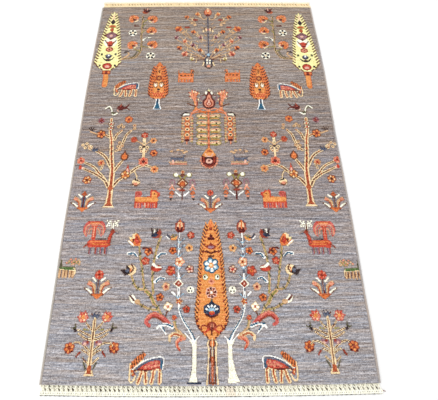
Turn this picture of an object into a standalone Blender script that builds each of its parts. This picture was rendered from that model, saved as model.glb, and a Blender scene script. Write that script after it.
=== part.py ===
"""A hand-knotted wool carpet lying flat, with overcast side cords and knotted warp ends.

The carpet lies along Y, near end at -Y, on the plane z = 0. Sizes are in metres.
"""

from collections import namedtuple

import bmesh
import bpy
import numpy as np

MM = 0.001

# Driving dimensions of the whole carpet
HALF_WIDTH = 0.5025  # centre line to the outside of a side cord, where the carpet is widest
NEAR_PILE = 0.7775  # carpet middle to the near end of the pile, on the centre line
FAR_PILE = 0.7765  # carpet middle to the far end of the pile, on the centre line
END_BOW = 0.0055  # how much shorter the pile is at its corners than on the centre line, each end
PIECE_GAP = 0.0003  # space between neighbouring pieces

# Pile field: its upper edge is rounded in these steps inwards and upwards
FIELD_EDGE = ((0.0, 0.0), (0.0, 6.0 * MM), (0.9 * MM, 8.1 * MM), (3.0 * MM, 9.0 * MM))
FIELD_COLUMNS = 8
FIELD_ROWS = 24

# Side cords: an overcast bundle with a flat underside
CORD_WIDTH = 8.0 * MM
CORD_HEIGHT = 7.0 * MM
CORD_FLAT = 4.4 * MM  # width of the flat that rests on the floor, and of the top
CORD_SHOULDERS = (1.8 * MM, 4.6 * MM)  # heights between which the cord has its full width
CORD_SECTIONS = 36

# Hand-made unevenness: how far the left and right sides draw in from HALF_WIDTH.
# along is the place along the pile, from -1 at the near end to 1 at the far end.
SideRow = namedtuple("SideRow", "along left right")
SIDE_DRAW_IN = (
    SideRow(-1.00, 6.0 * MM, 5.5 * MM),
    SideRow(-0.84, 4.5 * MM, 2.5 * MM),
    SideRow(-0.65, 3.2 * MM, 2.7 * MM),
    SideRow(-0.45, 0.0 * MM, 0.6 * MM),
    SideRow(-0.26, 0.6 * MM, 0.0 * MM),
    SideRow(-0.06, 0.0 * MM, 0.8 * MM),
    SideRow(0.13, 0.8 * MM, 2.4 * MM),
    SideRow(0.32, 0.2 * MM, 1.4 * MM),
    SideRow(0.52, 2.6 * MM, 1.0 * MM),
    SideRow(0.71, 6.2 * MM, 4.2 * MM),
    SideRow(0.90, 9.6 * MM, 9.4 * MM),
    SideRow(1.00, 11.5 * MM, 11.0 * MM),
)

# Warp ends: strands knotted into a narrow net, then braided along the outer edge.
# A row gives the distance out from the pile, the height on a strand's crest and on its flanks.
NetRow = namedtuple("NetRow", "out crest flank")
NEAR_ROWS = (
    NetRow(0.0 * MM, 2.8 * MM, 2.4 * MM),
    NetRow(3.0 * MM, 5.0 * MM, 3.6 * MM),
    NetRow(6.0 * MM, 3.6 * MM, 2.2 * MM),
    NetRow(15.5 * MM, 3.6 * MM, 2.2 * MM),
    NetRow(20.0 * MM, 5.0 * MM, 3.8 * MM),
    NetRow(25.5 * MM, 2.6 * MM, 2.0 * MM),
)
FAR_ROWS = (
    NetRow(0.0 * MM, 2.8 * MM, 2.4 * MM),
    NetRow(14.0 * MM, 3.2 * MM, 2.8 * MM),
    NetRow(17.5 * MM, 5.0 * MM, 3.6 * MM),
    NetRow(21.0 * MM, 3.6 * MM, 2.2 * MM),
    NetRow(32.0 * MM, 3.6 * MM, 2.2 * MM),
    NetRow(37.5 * MM, 5.0 * MM, 3.8 * MM),
    NetRow(43.5 * MM, 2.6 * MM, 2.0 * MM),
)
STRANDS = 74
CREST = 0.5  # share of a strand's width at which its crest lies
NET_GAP = 5.0 * MM  # clear width between two strands
SCALLOP = 1.6 * MM  # how far the outer edge falls back beside each strand's crest

# end is -1 for the near end and 1 for the far end; first_gap_row is the row where the open gaps begin;
# lean is how far a strand moves sideways along its gap, on the way out
Net = namedtuple("Net", "end left right rows first_gap_row lean")
NEAR_NET = Net(-1, -0.4905, 0.4960, NEAR_ROWS, 2, 6.0 * MM)
FAR_NET = Net(1, -0.4840, 0.4900, FAR_ROWS, 3, -6.0 * MM)

# The origin is under the middle of the whole carpet, fringes included
NEAR_REACH = NEAR_PILE + PIECE_GAP + NEAR_ROWS[-1].out
FAR_REACH = FAR_PILE + PIECE_GAP + FAR_ROWS[-1].out
MIDDLE_Y = (NEAR_REACH - FAR_REACH) / 2

Finish = namedtuple("Finish", "colour roughness")
PILE_WOOL = Finish((0.29, 0.27, 0.31), 0.95)
SIDE_WOOL = Finish((0.50, 0.44, 0.38), 0.95)
WARP_COTTON = Finish((0.86, 0.80, 0.66), 0.90)


def clear_scene():
    for old in list(bpy.data.objects):
        bpy.data.objects.remove(old, do_unlink=True)


def material(name, finish):
    made = bpy.data.materials.new(name)
    made.use_nodes = True
    shader = made.node_tree.nodes["Principled BSDF"]
    shader.inputs["Base Color"].default_value = (*finish.colour, 1.0)
    shader.inputs["Roughness"].default_value = finish.roughness
    shader.inputs["Metallic"].default_value = 0.0
    return made


def add_piece(name, mesh, surface):
    """Turns the finished bmesh into the named object, smooth where its faces meet gently."""
    bmesh.ops.recalc_face_normals(mesh, faces=mesh.faces)
    data = bpy.data.meshes.new(name)
    mesh.to_mesh(data)
    mesh.free()
    data.shade_smooth()
    data.set_sharp_from_angle(angle=np.radians(50.0))
    data.materials.append(surface)
    piece = bpy.data.objects.new(name, data)
    bpy.context.scene.collection.objects.link(piece)
    return piece


def bow(x):
    """How far a pile end falls back at this x, as a parabola that is zero on the centre line."""
    return END_BOW * (x / HALF_WIDTH) ** 2


def end_y(x, end):
    """Where the pile ends at this x: end is -1 for the near end, 1 for the far one."""
    reach = NEAR_PILE if end < 0 else FAR_PILE
    return MIDDLE_Y + end * (reach - bow(x))


def side_x(y, side):
    """Outer face of a side cord at this y: side is -1 for the left, 1 for the right."""
    along = (y - MIDDLE_Y) / max(NEAR_PILE, FAR_PILE)
    places = [row.along for row in SIDE_DRAW_IN]
    drawn = [row.left if side < 0 else row.right for row in SIDE_DRAW_IN]
    return side * (HALF_WIDTH - np.interp(along, places, drawn))


def field_point(column, row, inset, height):
    """A point of the pile field's grid, moved in from the edge where it lies on the edge."""
    share_y = row / FIELD_ROWS
    share_x = column / FIELD_COLUMNS
    rough_y = MIDDLE_Y - NEAR_PILE + share_y * (NEAR_PILE + FAR_PILE)
    cord = CORD_WIDTH + PIECE_GAP
    left = side_x(rough_y, -1) + cord
    right = side_x(rough_y, 1) - cord
    x = left + share_x * (right - left)
    y = end_y(x, -1) + share_y * (end_y(x, 1) - end_y(x, -1))
    x += inset * ((column == 0) - (column == FIELD_COLUMNS))
    y += inset * ((row == 0) - (row == FIELD_ROWS))
    return x, y, height


def field_border():
    """The grid's edge places in order, once round."""
    near = [(column, 0) for column in range(FIELD_COLUMNS)]
    right = [(FIELD_COLUMNS, row) for row in range(FIELD_ROWS)]
    far = [(column, FIELD_ROWS) for column in range(FIELD_COLUMNS, 0, -1)]
    left = [(0, row) for row in range(FIELD_ROWS, 0, -1)]
    return near + right + far + left


def pile_field(surface):
    """The knotted field: a slab with a grid below and above, joined by the rounded edge."""
    mesh = bmesh.new()
    border = field_border()
    rings = [
        {place: mesh.verts.new(field_point(*place, inset, height)) for place in border}
        for inset, height in FIELD_EDGE
    ]
    for ring, (inset, height) in ((rings[0], FIELD_EDGE[0]), (rings[-1], FIELD_EDGE[-1])):
        for column in range(1, FIELD_COLUMNS):
            for row in range(1, FIELD_ROWS):
                ring[column, row] = mesh.verts.new(field_point(column, row, inset, height))
        for column in range(FIELD_COLUMNS):
            for row in range(FIELD_ROWS):
                corners = ((0, 0), (1, 0), (1, 1), (0, 1))
                mesh.faces.new([ring[column + across, row + up] for across, up in corners])
    for lower, upper in zip(rings, rings[1:]):
        for here, after in zip(border, border[1:] + border[:1]):
            mesh.faces.new((lower[here], lower[after], upper[after], upper[here]))
    return add_piece("pile_field", mesh, surface)


def cord_section():
    """A side cord's cross-section, as distances from its outer face and heights, once round."""
    flat_in = (CORD_WIDTH - CORD_FLAT) / 2
    low, high = CORD_SHOULDERS
    return (
        (flat_in, 0.0),
        (0.0, low),
        (0.0, high),
        (flat_in, CORD_HEIGHT),
        (CORD_WIDTH - flat_in, CORD_HEIGHT),
        (CORD_WIDTH, high),
        (CORD_WIDTH, low),
        (CORD_WIDTH - flat_in, 0.0),
    )


def side_cord(name, side, surface):
    """One overcast side cord, a tube that follows the carpet's uneven side."""
    mesh = bmesh.new()
    near = end_y(HALF_WIDTH, -1)
    far = end_y(HALF_WIDTH, 1)
    rings = []
    for y in np.linspace(near, far, CORD_SECTIONS + 1):
        outer = side_x(y, side)
        ring = [mesh.verts.new((outer - side * inward, y, height)) for inward, height in cord_section()]
        rings.append(ring)
    for ring, following in zip(rings, rings[1:]):
        bmesh.ops.bridge_loops(mesh, edges=closed_edges(mesh, ring) + closed_edges(mesh, following))
    mesh.faces.new(rings[0])
    mesh.faces.new(rings[-1])
    return add_piece(name, mesh, surface)


def closed_edges(mesh, ring):
    """The ring's edges, made where they are missing."""
    pairs = zip(ring, ring[1:] + ring[:1])
    return [mesh.edges.get(pair) or mesh.edges.new(pair) for pair in pairs]


def net_row_points(mesh, net, row, shares, height_at):
    """One row of a net's points: for each strand, one at each share of its width."""
    pitch = (net.right - net.left + NET_GAP) / STRANDS
    gap_from = net.rows[net.first_gap_row].out
    gap_to = net.rows[net.first_gap_row + 1].out
    leaned = net.lean * np.clip((row.out - gap_from) / (gap_to - gap_from), 0.0, 1.0)
    points = []
    for strand in range(STRANDS):
        for share in shares:
            shorter = SCALLOP if row is net.rows[-1] and share != CREST else 0.0
            x = net.left + strand * pitch + share * (pitch - NET_GAP)
            y = end_y(x, net.end) + net.end * (PIECE_GAP + row.out - shorter)
            points.append(mesh.verts.new((x + leaned, y, height_at(share))))
    return points


def net_top_row(mesh, net, row):
    """A row of the net's upper points: left flank, crest and right flank of each strand."""
    return net_row_points(
        mesh, net, row, (0.0, CREST, 1.0), lambda share: row.crest if share == CREST else row.flank
    )


def net_floor_row(mesh, net, row):
    """A row of the net's points on the floor: the left and right side of each strand."""
    return net_row_points(mesh, net, row, (0.0, 1.0), lambda share: 0.0)


def net_grid(mesh, points, gap_band, across_strand):
    """Skins one side of the net, leaving the gaps open. gap_band is the index of the open band."""
    for band, (inner, outer) in enumerate(zip(points, points[1:])):
        for at in range(len(inner) - 1):
            in_gap = at % across_strand == across_strand - 1
            if not (in_gap and band == gap_band):
                mesh.faces.new((inner[at], inner[at + 1], outer[at + 1], outer[at]))


def net_long_wall(mesh, top_row, bottom_row):
    """The wall along the net's inner or outer edge."""
    for strand in range(STRANDS):
        left, crest, right = top_row[3 * strand : 3 * strand + 3]
        low_left, low_right = bottom_row[2 * strand : 2 * strand + 2]
        mesh.faces.new((low_left, low_right, right, crest, left))
    net_short_walls(mesh, top_row, bottom_row)


def net_short_walls(mesh, top_row, bottom_row):
    """The short walls between neighbouring strands along one row."""
    for strand in range(STRANDS - 1):
        right, next_left = top_row[3 * strand + 2], top_row[3 * strand + 3]
        low_right, low_next = bottom_row[2 * strand + 1], bottom_row[2 * strand + 2]
        mesh.faces.new((low_right, low_next, next_left, right))


def net_flanks(mesh, top, floor, first_gap_row):
    """The strands' own side walls along the gaps."""
    lower_in, lower_out = floor[first_gap_row], floor[first_gap_row + 1]
    upper_in, upper_out = top[first_gap_row], top[first_gap_row + 1]
    for strand in range(STRANDS):
        for low, high, open_side in (
            (2 * strand, 3 * strand, strand > 0),
            (2 * strand + 1, 3 * strand + 2, strand < STRANDS - 1),
        ):
            if open_side:
                mesh.faces.new((lower_in[low], lower_out[low], upper_out[high], upper_in[high]))


def net_end_walls(mesh, top, floor):
    """The walls at the net's two side ends, in stretches so that each is flat."""
    stops = list(floor)
    for at in (0, -1):
        for start, stop in zip(stops, stops[1:]):
            upper = [top[row][at] for row in range(stop, start - 1, -1)]
            mesh.faces.new([floor[start][at], floor[stop][at], *upper])


def warp_net(name, net, surface):
    """One end's warps: solid inner strip, leaning strands with open gaps, solid outer braid."""
    mesh = bmesh.new()
    first, last = net.first_gap_row, len(net.rows) - 1
    top = [net_top_row(mesh, net, row) for row in net.rows]
    floor = {at: net_floor_row(mesh, net, net.rows[at]) for at in (0, first, first + 1, last)}
    net_grid(mesh, top, gap_band=first, across_strand=3)
    net_grid(mesh, list(floor.values()), gap_band=1, across_strand=2)
    for row in (0, last):
        net_long_wall(mesh, top[row], floor[row])
    for row in (first, first + 1):
        net_short_walls(mesh, top[row], floor[row])
    net_flanks(mesh, top, floor, first)
    net_end_walls(mesh, top, floor)
    return add_piece(name, mesh, surface)


def main():
    clear_scene()
    pile_field(material("pile_wool", PILE_WOOL))
    side_wool = material("side_wool", SIDE_WOOL)
    side_cord("selvedge_left", -1, side_wool)
    side_cord("selvedge_right", 1, side_wool)
    cotton = material("warp_cotton", WARP_COTTON)
    warp_net("fringe_near", NEAR_NET, cotton)
    warp_net("fringe_far", FAR_NET, cotton)


main()
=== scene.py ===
"""A hand-knotted wool carpet lying flat, built knot by knot around its CAD part.

The figures are ordinary tribal tree and animal figures, drawn below by small functions on a grid of knots.
The pile, the back with its own weave, the overcast side cords and the knotted warp ends are all meshes.
"""

import math

import bpy
import numpy as np
from mathutils import Matrix, Vector


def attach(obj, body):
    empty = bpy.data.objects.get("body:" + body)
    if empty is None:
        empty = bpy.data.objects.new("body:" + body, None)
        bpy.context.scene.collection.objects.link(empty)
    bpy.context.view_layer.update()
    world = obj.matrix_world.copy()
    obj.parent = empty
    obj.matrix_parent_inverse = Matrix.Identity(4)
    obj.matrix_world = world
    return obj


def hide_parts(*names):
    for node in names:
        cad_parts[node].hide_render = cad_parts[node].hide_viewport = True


SEED = 41

# The cloth: knots across and along, their pitch in millimetres, and its middle in the part's frame
COLUMNS, ROWS, KNOT = 402, 632, 2.459
STRIPS = ("pile_left", "pile_middle", "pile_right")
CARPET_MIDDLE = Vector((0.0, -0.0085, 0.0))
SHEET_SHIFT = (2.5, -5.0)  # the figures' own middle, in millimetres from the cloth's
CURVE_STEPS = 6
ROUND = np.radians(np.arange(0, 360, 24))

# Where the CAD part's sides and bowed ends are looked for: height and depth in metres, and share of the
# half width; then how far across the ends reach, in metres
FOOT_HEIGHT, END_DEPTH, SIDE_SHARE = 1e-5, 0.008, 0.95
END_REACH, YARN_REACH = 0.49, 0.485

# Heights and unevenness of the pile and the back, in metres
PILE_TOP = 0.0088
PILE_UNEVEN = 0.0005
PILE_ROUNDING = 0.0016
ROUNDED_KNOTS = 3
KNOT_JITTER = 0.0004
BACK_TOP = 0.003
BACK_RIDGE = 0.0003
BACK_UNEVEN = 0.0001
BACK_JITTER = 0.0003

# The ground's tones from the near end (height 0) to the far one (height 1)
GROUND_HEIGHTS = (0.0, 0.3, 0.45, 0.6, 0.8, 1.0)
GROUND_TONES = (
    (161, 157, 160), (154, 146, 146), (146, 135, 133), (140, 127, 121), (151, 138, 130), (143, 127, 115),
)
# A streak: its strength, how many rows thick and how many knots long
GROUND_STREAKS = ((14, 1, 5), (11, 1, 18), (10, 2, 36), (5, 4, 120))
WARM_STREAKS = ((3, 1, 9), (3, 4, 40))
WARM_SHIFT = (1.0, 0.1, -0.9)
FIGURE_STREAK = (9, 1, 7)
CRISPNESS = 0.45
BLUR_ROWS = range(-3, 4)
KNOT_SPREAD = 15.0
RIM_SHADE = (15, 21, 26)
DARKEST = 4
BACK_WEFT, WEFT_SHARE = (170, 164, 160), 0.22

# The maps: a rim is left free around a slab's worked face for its walls and its plain face,
# and each tube has a square cell with a spot for each cap at its foot
FACE_RIM, WALL_RIM, WALL_DEPTH, NARROW_WALL_DEPTH = 0.02, 0.018, 0.014, 0.006
PLAIN_FACE_MAP = (0.002, 0.009)
TUBE_CORNER, TUBE_SPAN = (0.04, 0.1), (0.92, 0.86)
CAP_SPOT, CAP_HEIGHT, CAP_PLACES = 0.035, 0.05, (0.25, 0.75)

# The side cords; a spot is a station of the CAD cord, found by its y
CORD_HEIGHT, CORD_LIFT, CORD_SIDES = 0.007, 0.0002, 10
WRAP_PITCH = 0.0028
SPOT_GAP, SPOT_REACH = 0.002, 0.0015
CORD_WANDER, TURN_SPREAD, TURN_TONE_SPREAD = 0.0002, 0.03, 0.05
RINGS_A_TURN = 4
TURN_PROFILE = (0.9, 1.0, 1.04, 1.0)
GROOVE_SHADE = 0.72
CORD_WIDTH_SHARE = 0.97
EDGE_TONE_RUN = 160
LEFT_TONE, RIGHT_TONE, CORD_EDGE = (184, 180, 172), (180, 174, 172), (196, 180, 168)

# The warp ends
YARN_STEPS = 14
PLY_RISE, PLY_UNEVEN = 0.0009, 0.3
SIDE_WANDER = 0.0002
TWINE_OVERLAP = 0.02
MARK_WANDER, MARK_THICKNESS, MARK_PALENESS, MARK_TAPER = 0.0006, (0.75, 1.1), 0.85, 0.1
# Wave and paleness of the painted shadow line along the near braid's outer edge
SHADOW_LINE_WAVE, SHADOW_LINE_PALENESS = 0.0005, 0.65
LOOSE_LIFT, LOOSE_TAPER = 0.0005, 0.5
YARN_TONE_SPREAD, STAIN_STRENGTH = 0.05, 1.4
TWINE_RUNS = 24
# How many runs the painted shadow line is cut into
SHADOW_LINE_RUNS = 60
# Profile row: distance from the pile, lean, spread of the plies, yarn radius and height, in millimetres.
# Twined row: distance from the pile, height and radius, in metres like all that follow.
# Mark, painted shade: a dark tube laid between two strands where shade falls: nearest and farthest distance,
# slant, height, radius and tone.
# Painted shadow line, a dark tube on the floor along the braid's outer edge standing for its cast shadow:
# distance, radius and tone. Loose end: three places, radius and tone.
NEAR_BAND = {
    "first": -0.4905, "last": 0.4960, "strands": 74, "plies": 3, "turns": 0.8,
    "profile": (
        (-1.0, -3.0, 4.4, 1.7, 2.7), (3.0, -2.7, 5.0, 2.2, 3.2), (7.0, -2.1, 4.6, 2.0, 3.0),
        (9.5, -0.9, 3.0, 1.6, 2.6), (12.0, 0.6, 2.4, 1.5, 2.5), (14.5, 2.1, 3.0, 1.6, 2.6),
        (17.0, 2.7, 4.8, 2.0, 3.0), (22.0, 3.0, 4.9, 2.1, 3.1), (26.0, 3.3, 4.3, 1.7, 2.7),
    ),
    "twined_rows": ((0.0185, 0.0026, 0.0016), (0.0245, 0.0026, 0.0014)),
    # Painted shade: both marks are dark tubes, the first in the gaps of the net, the second in the grooves
    # between the root knots
    "painted_shade_marks": (
        (0.0088, 0.0144, 0.0066, 0.0022, 0.0018, (92, 80, 56)),
        (0.0002, 0.0062, 0.0046, 0.0068, 0.0012, (100, 92, 74)),
    ),
    # Painted shadow: a dark tube on the floor along the outer edge, for the braid's cast shadow
    "painted_shadow_line": (0.0272, 0.0012, (66, 62, 54)),
    "loose_end": ((0.4890, 0.0120), (0.4970, 0.0180), (0.5070, 0.0215), 0.0017, (140, 100, 90)),
    "tones": ((0.0, (252, 248, 228)), (0.026, (255, 253, 238))),
    "stains": ((0.036, 0.082, (249, 239, 220)),),
}
FAR_BAND = {
    "first": -0.4840, "last": 0.4900, "strands": 74, "plies": 3, "turns": 1.0,
    "profile": (
        (-1.0, 3.0, 4.8, 1.9, 2.9), (6.0, 2.7, 5.2, 2.2, 3.2), (13.0, 2.1, 5.0, 2.1, 3.1),
        (16.0, 1.0, 3.4, 1.8, 2.8), (19.0, -0.5, 2.8, 1.7, 2.7), (23.0, -1.8, 3.4, 1.8, 2.8),
        (27.0, -2.4, 4.8, 2.1, 3.1), (35.0, -2.8, 5.0, 2.1, 3.1), (44.0, -3.2, 5.0, 1.7, 2.7),
    ),
    "twined_rows": (
        (0.004, 0.0026, 0.0018), (0.0105, 0.0026, 0.0017), (0.030, 0.0026, 0.0016), (0.038, 0.0026, 0.0016),
    ),
    # Painted shade: dark tan tubes in the gaps between strands
    "painted_shade_marks": ((0.0145, 0.0250, -0.0040, 0.0030, 0.0022, (176, 140, 92)),),
    "painted_shadow_line": None,
    "loose_end": None,
    "tones": (
        (0.0, (252, 232, 190)), (0.012, (252, 234, 196)), (0.024, (250, 226, 180)), (0.030, (255, 248, 228)),
        (0.044, (255, 254, 246)),
    ),
    "stains": (),
}

# The stage
FLOOR_SIDE, FLOOR_DROP = 14.0, 0.0002
FLOOR_TONE, FLOOR_PATCHES = (0.93, 0.93, 0.93), 0.99
SKY_TONE, SKY_STRENGTH = (1.0, 1.0, 1.0), 0.82
LAMPS = (("window_lamp", (-1.8, -0.6, 2.6), 2.4, 38.0), ("fill_lamp", (1.6, 1.2, 2.8), 2.4, 18.0))
CAMERA_PLACE = Vector((-0.02085, -0.60502, 1.02966))
CAMERA_TURN = (-0.67905, 68.84681, -0.48905)  # yaw, pitch below level and roll, in degrees
CAMERA_LENS, SENSOR_WIDTH = 25.27, 36
CAMERA_SHIFT = 0.0342

# Inks of the figures, as display colours
PALETTE = {
    "ground": (0, 0, 0),
    "white": (250, 250, 244),
    "ivory": (254, 250, 226),
    "lemon": (250, 240, 168),
    "cream": (240, 212, 166),
    "tan": (206, 166, 124),
    "gold": (226, 150, 84),
    "orange": (214, 118, 64),
    "salmon": (220, 144, 114),
    "pink": (228, 180, 160),
    "red": (192, 70, 50),
    "rose": (196, 92, 84),
    "brick": (146, 60, 42),
    "rust": (174, 86, 50),
    "maroon": (92, 32, 28),
    "mauve": (152, 112, 122),
    "dark": (50, 36, 38),
    "navy": (48, 56, 76),
    "blue": (44, 92, 118),
    "sky": (150, 186, 206),
    "olive": (146, 136, 72),
    "green": (92, 114, 66),
    "moss": (86, 84, 58),
    "slate": (92, 96, 112),
    "taupe": (150, 128, 118),
    "sand": (232, 204, 160),
    "brown": (104, 58, 40),
    "amber": (222, 134, 70),
}
INKS = list(PALETTE)
PALER = {
    "orange": "gold", "red": "salmon", "salmon": "cream", "gold": "cream", "brick": "red", "maroon": "brick",
    "rust": "orange", "pink": "cream", "sand": "ivory", "ivory": "white", "sky": "white", "mauve": "pink",
}


class Cloth:
    """The knots: their places in millimetres from the field's near left corner, and the ink of each."""

    def __init__(self, share_of):
        self.share_of = share_of  # real millimetres to shares of the field, which is no exact rectangle
        self.x = (np.arange(COLUMNS) + 0.5) * KNOT
        self.y = (np.arange(ROWS) + 0.5) * KNOT
        self.ink = np.zeros((ROWS, COLUMNS), np.int8)

    def settle(self, points):
        """Real places, measured from the carpet's middle, to places among the knots."""
        across, along = self.share_of(*points.T)
        return np.stack((across * COLUMNS * KNOT, along * ROWS * KNOT), 1)

    def window(self, points, margin=0.0):
        """The rows and columns around some points, with the places of their knots."""
        low, high = points.min(0) - margin, points.max(0) + margin
        rows = slice(*np.searchsorted(self.y, (low[1], high[1])))
        columns = slice(*np.searchsorted(self.x, (low[0], high[0])))
        return rows, columns, *np.meshgrid(self.x[columns], self.y[rows])

    def fill(self, points, ink):
        """Gives the ink to the knots inside a closed shape."""
        points = self.settle(points)
        rows, columns, x, y = self.window(points)
        inside = np.zeros(x.shape, bool)
        for (ax, ay), (bx, by) in zip(points, np.roll(points, -1, 0)):
            if ay != by:
                crosses = (ay > y) != (by > y)
                inside ^= crosses & (x < ax + (y - ay) * (bx - ax) / (by - ay))
        self.ink[rows, columns][inside] = INKS.index(ink)

    def stroke(self, points, widths, ink):
        """Gives the ink to the knots along a line that has a width at each point."""
        points = self.settle(points)
        for a, b, start, stop in zip(points, points[1:], widths, widths[1:]):
            rows, columns, x, y = self.window(np.array((a, b)), max(start, stop))
            run = b - a
            along = np.clip(((x - a[0]) * run[0] + (y - a[1]) * run[1]) / max(run @ run, 1e-9), 0, 1)
            away = np.hypot(x - a[0] - along * run[0], y - a[1] - along * run[1])
            self.ink[rows, columns][away < (start + along * (stop - start)) / 2] = INKS.index(ink)


class Pen:
    """Draws on the cloth in millimetres from its own place, along its own axes."""

    def __init__(self, cloth, x, y, axes=((1.0, 0.0), (0.0, 1.0))):
        self.cloth = cloth
        self.origin = np.array((x, y), float)
        self.axes = np.array(axes)

    def at(self, x, y, turn=0.0):
        """A pen placed at x, y of this one, turned anticlockwise by so many degrees."""
        cos, sin = math.cos(math.radians(turn)), math.sin(math.radians(turn))
        return Pen(self.cloth, *self.world((x, y)), ((cos, sin), (-sin, cos)) @ self.axes)

    def mirror(self):
        """This pen's mirror image about its own upright line."""
        return Pen(self.cloth, *self.origin, ((-1.0, 0.0), (0.0, 1.0)) @ self.axes)

    def mirrored(self):
        """This pen and its mirror image."""
        return self, self.mirror()

    def world(self, points):
        """Places on the carpet of the pen's own ones."""
        return self.origin + np.array(points, float) @ self.axes

    def fill(self, ink, *corners):
        """A shape; a list of corners is the right half of one that is the same on both sides."""
        if isinstance(corners[0], list):
            right = corners[0]
            corners = right + [(-x, y) for x, y in reversed(right)]
        self.cloth.fill(self.world(corners), ink)

    def dot(self, ink, x, y, across, up=None):
        """An ellipse of the given full width and height."""
        up = across if up is None else up
        ring = np.stack((x + across / 2 * np.cos(ROUND), y + up / 2 * np.sin(ROUND)), 1)
        self.cloth.fill(self.world(ring), ink)

    def line(self, ink, width, *points):
        """A line through the points, bent smoothly; a list of two widths is for its start and its tip."""
        start, tip = width if isinstance(width, list) else (width, width)
        bent = curve(self.world(points))
        self.cloth.stroke(bent, np.linspace(start, tip, len(bent)), ink)

    def draw(self, *strokes):
        """Strokes in turn: an ink with corners fills, with a width and points lines, with numbers dots."""
        for ink, first, *rest in strokes:
            if not rest or isinstance(first, tuple):
                self.fill(ink, first, *rest)
            elif isinstance(rest[0], tuple):
                self.line(ink, first, *rest)
            else:
                self.dot(ink, first, *rest)

    def both(self, *strokes):
        """The same strokes on this pen and on its mirror image."""
        for half in self.mirrored():
            half.draw(*strokes)


def curve(points):
    """Points of a smooth curve through the given ones."""
    if len(points) < 3:
        return points
    ends = np.vstack((2 * points[0] - points[1], points, 2 * points[-1] - points[-2]))
    steps = np.linspace(0, 1, CURVE_STEPS, endpoint=False)[:, None]
    runs = []
    for a, b, c, d in zip(ends, ends[1:], ends[2:], ends[3:]):
        runs.append(
            0.5 * (2 * b + (c - a) * steps + (2 * a - 5 * b + 4 * c - d) * steps**2
                   + (3 * b - a - 3 * c + d) * steps**3)
        )
    return np.vstack((*runs, points[-1]))


# Flowers, leaves and branches that the figures share, drawn upwards from the pen's place

def rosette(pen, size, petals, petal, heart, rim):
    """A round flower: rim, petals with pale tips, dark lines between them if it is large, and the heart."""
    arms = [pen.at(0, 0, 360 * i / petals + 9) for i in range(petals)]
    for arm in arms:
        arm.dot(rim, 0, 0.34 * size, 0.4 * size)
    for i, arm in enumerate(arms):
        arm.dot(petal, 0, 0.28 * size, 0.3 * size, 0.34 * size)
        if i % 2:
            arm.dot(PALER.get(petal, petal), 0, 0.33 * size, 0.2 * size)
    if size > 20:
        for arm in arms:
            arm.at(0, 0, 180 / petals).line(rim, 2.5, (0, 0.1 * size), (0, 0.44 * size))
    pen.dot(heart, 0, 0, 0.36 * size)
    if size > 24 and heart != "maroon":
        pen.dot("maroon", 0, 0, 0.14 * size)


def rosettes(pen, petals, *flowers):
    """Rosettes by place, size and inks, each turned by its own x so that they differ."""
    for x, y, size, *inks in flowers:
        rosette(pen.at(x, y, x), size, petals, *inks)


def bloom(pen, size, petal, heart):
    """A small open flower seen from the side: three lobes over a dark foot."""
    for x, y in ((-0.28, 0.1), (0.28, 0.1), (0, 0.34)):
        pen.dot(petal, x * size, y * size, 0.4 * size, 0.66 * size)
    for x in (-0.36, 0.34):
        pen.dot(PALER.get(petal, petal), x * size, 0.3 * size, 0.18 * size, 0.26 * size)
    pen.dot(heart, 0, -0.08 * size, 0.52 * size, 0.5 * size)
    pen.line(heart, max(2.5, 0.16 * size), (0, -0.4 * size), (0, 0.5 * size))


def leaf(pen, length, width, ink):
    """A pointed leaf with its foot at the pen's place."""
    pen.fill(ink, [(0, length), (0.3 * width, 0.75 * length), (0.5 * width, 0.35 * length), (0, 0)])


# Figures

def limb(pen, width, tip, *points, outline="cream", heart="brown"):
    """A branch with a pale outline on both sides of a dark heart."""
    pen.draw((outline, [width, tip], *points), (heart, [0.46 * width, 0.4 * tip], *points))


def serrated(pen, outline, ink, pitch, tooth, mark, rise=1.0):
    """A tree body with a hooked edge; outline gives (height, half width) from the tip down."""
    heights, halves = np.array(outline, float).T[:, ::-1]
    edge = list(zip(halves, heights))
    pen.fill(ink, *edge, *((-x, y) for x, y in reversed(edge)))
    climb = 0.6 * rise * pitch
    for low in np.arange(heights[0] + 0.3 * pitch, heights[-1] - 1.8 * pitch, pitch):
        half = np.interp(low, heights, halves)
        out = half + tooth * min(1, half / 20)
        pen.both(
            (mark, 0.42 * pitch, (half - 2, low), (out, low + climb)),
            (ink, 0.36 * pitch, (half - 2, low + 0.45 * pitch), (out, low + 0.45 * pitch + climb)),
        )


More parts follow.
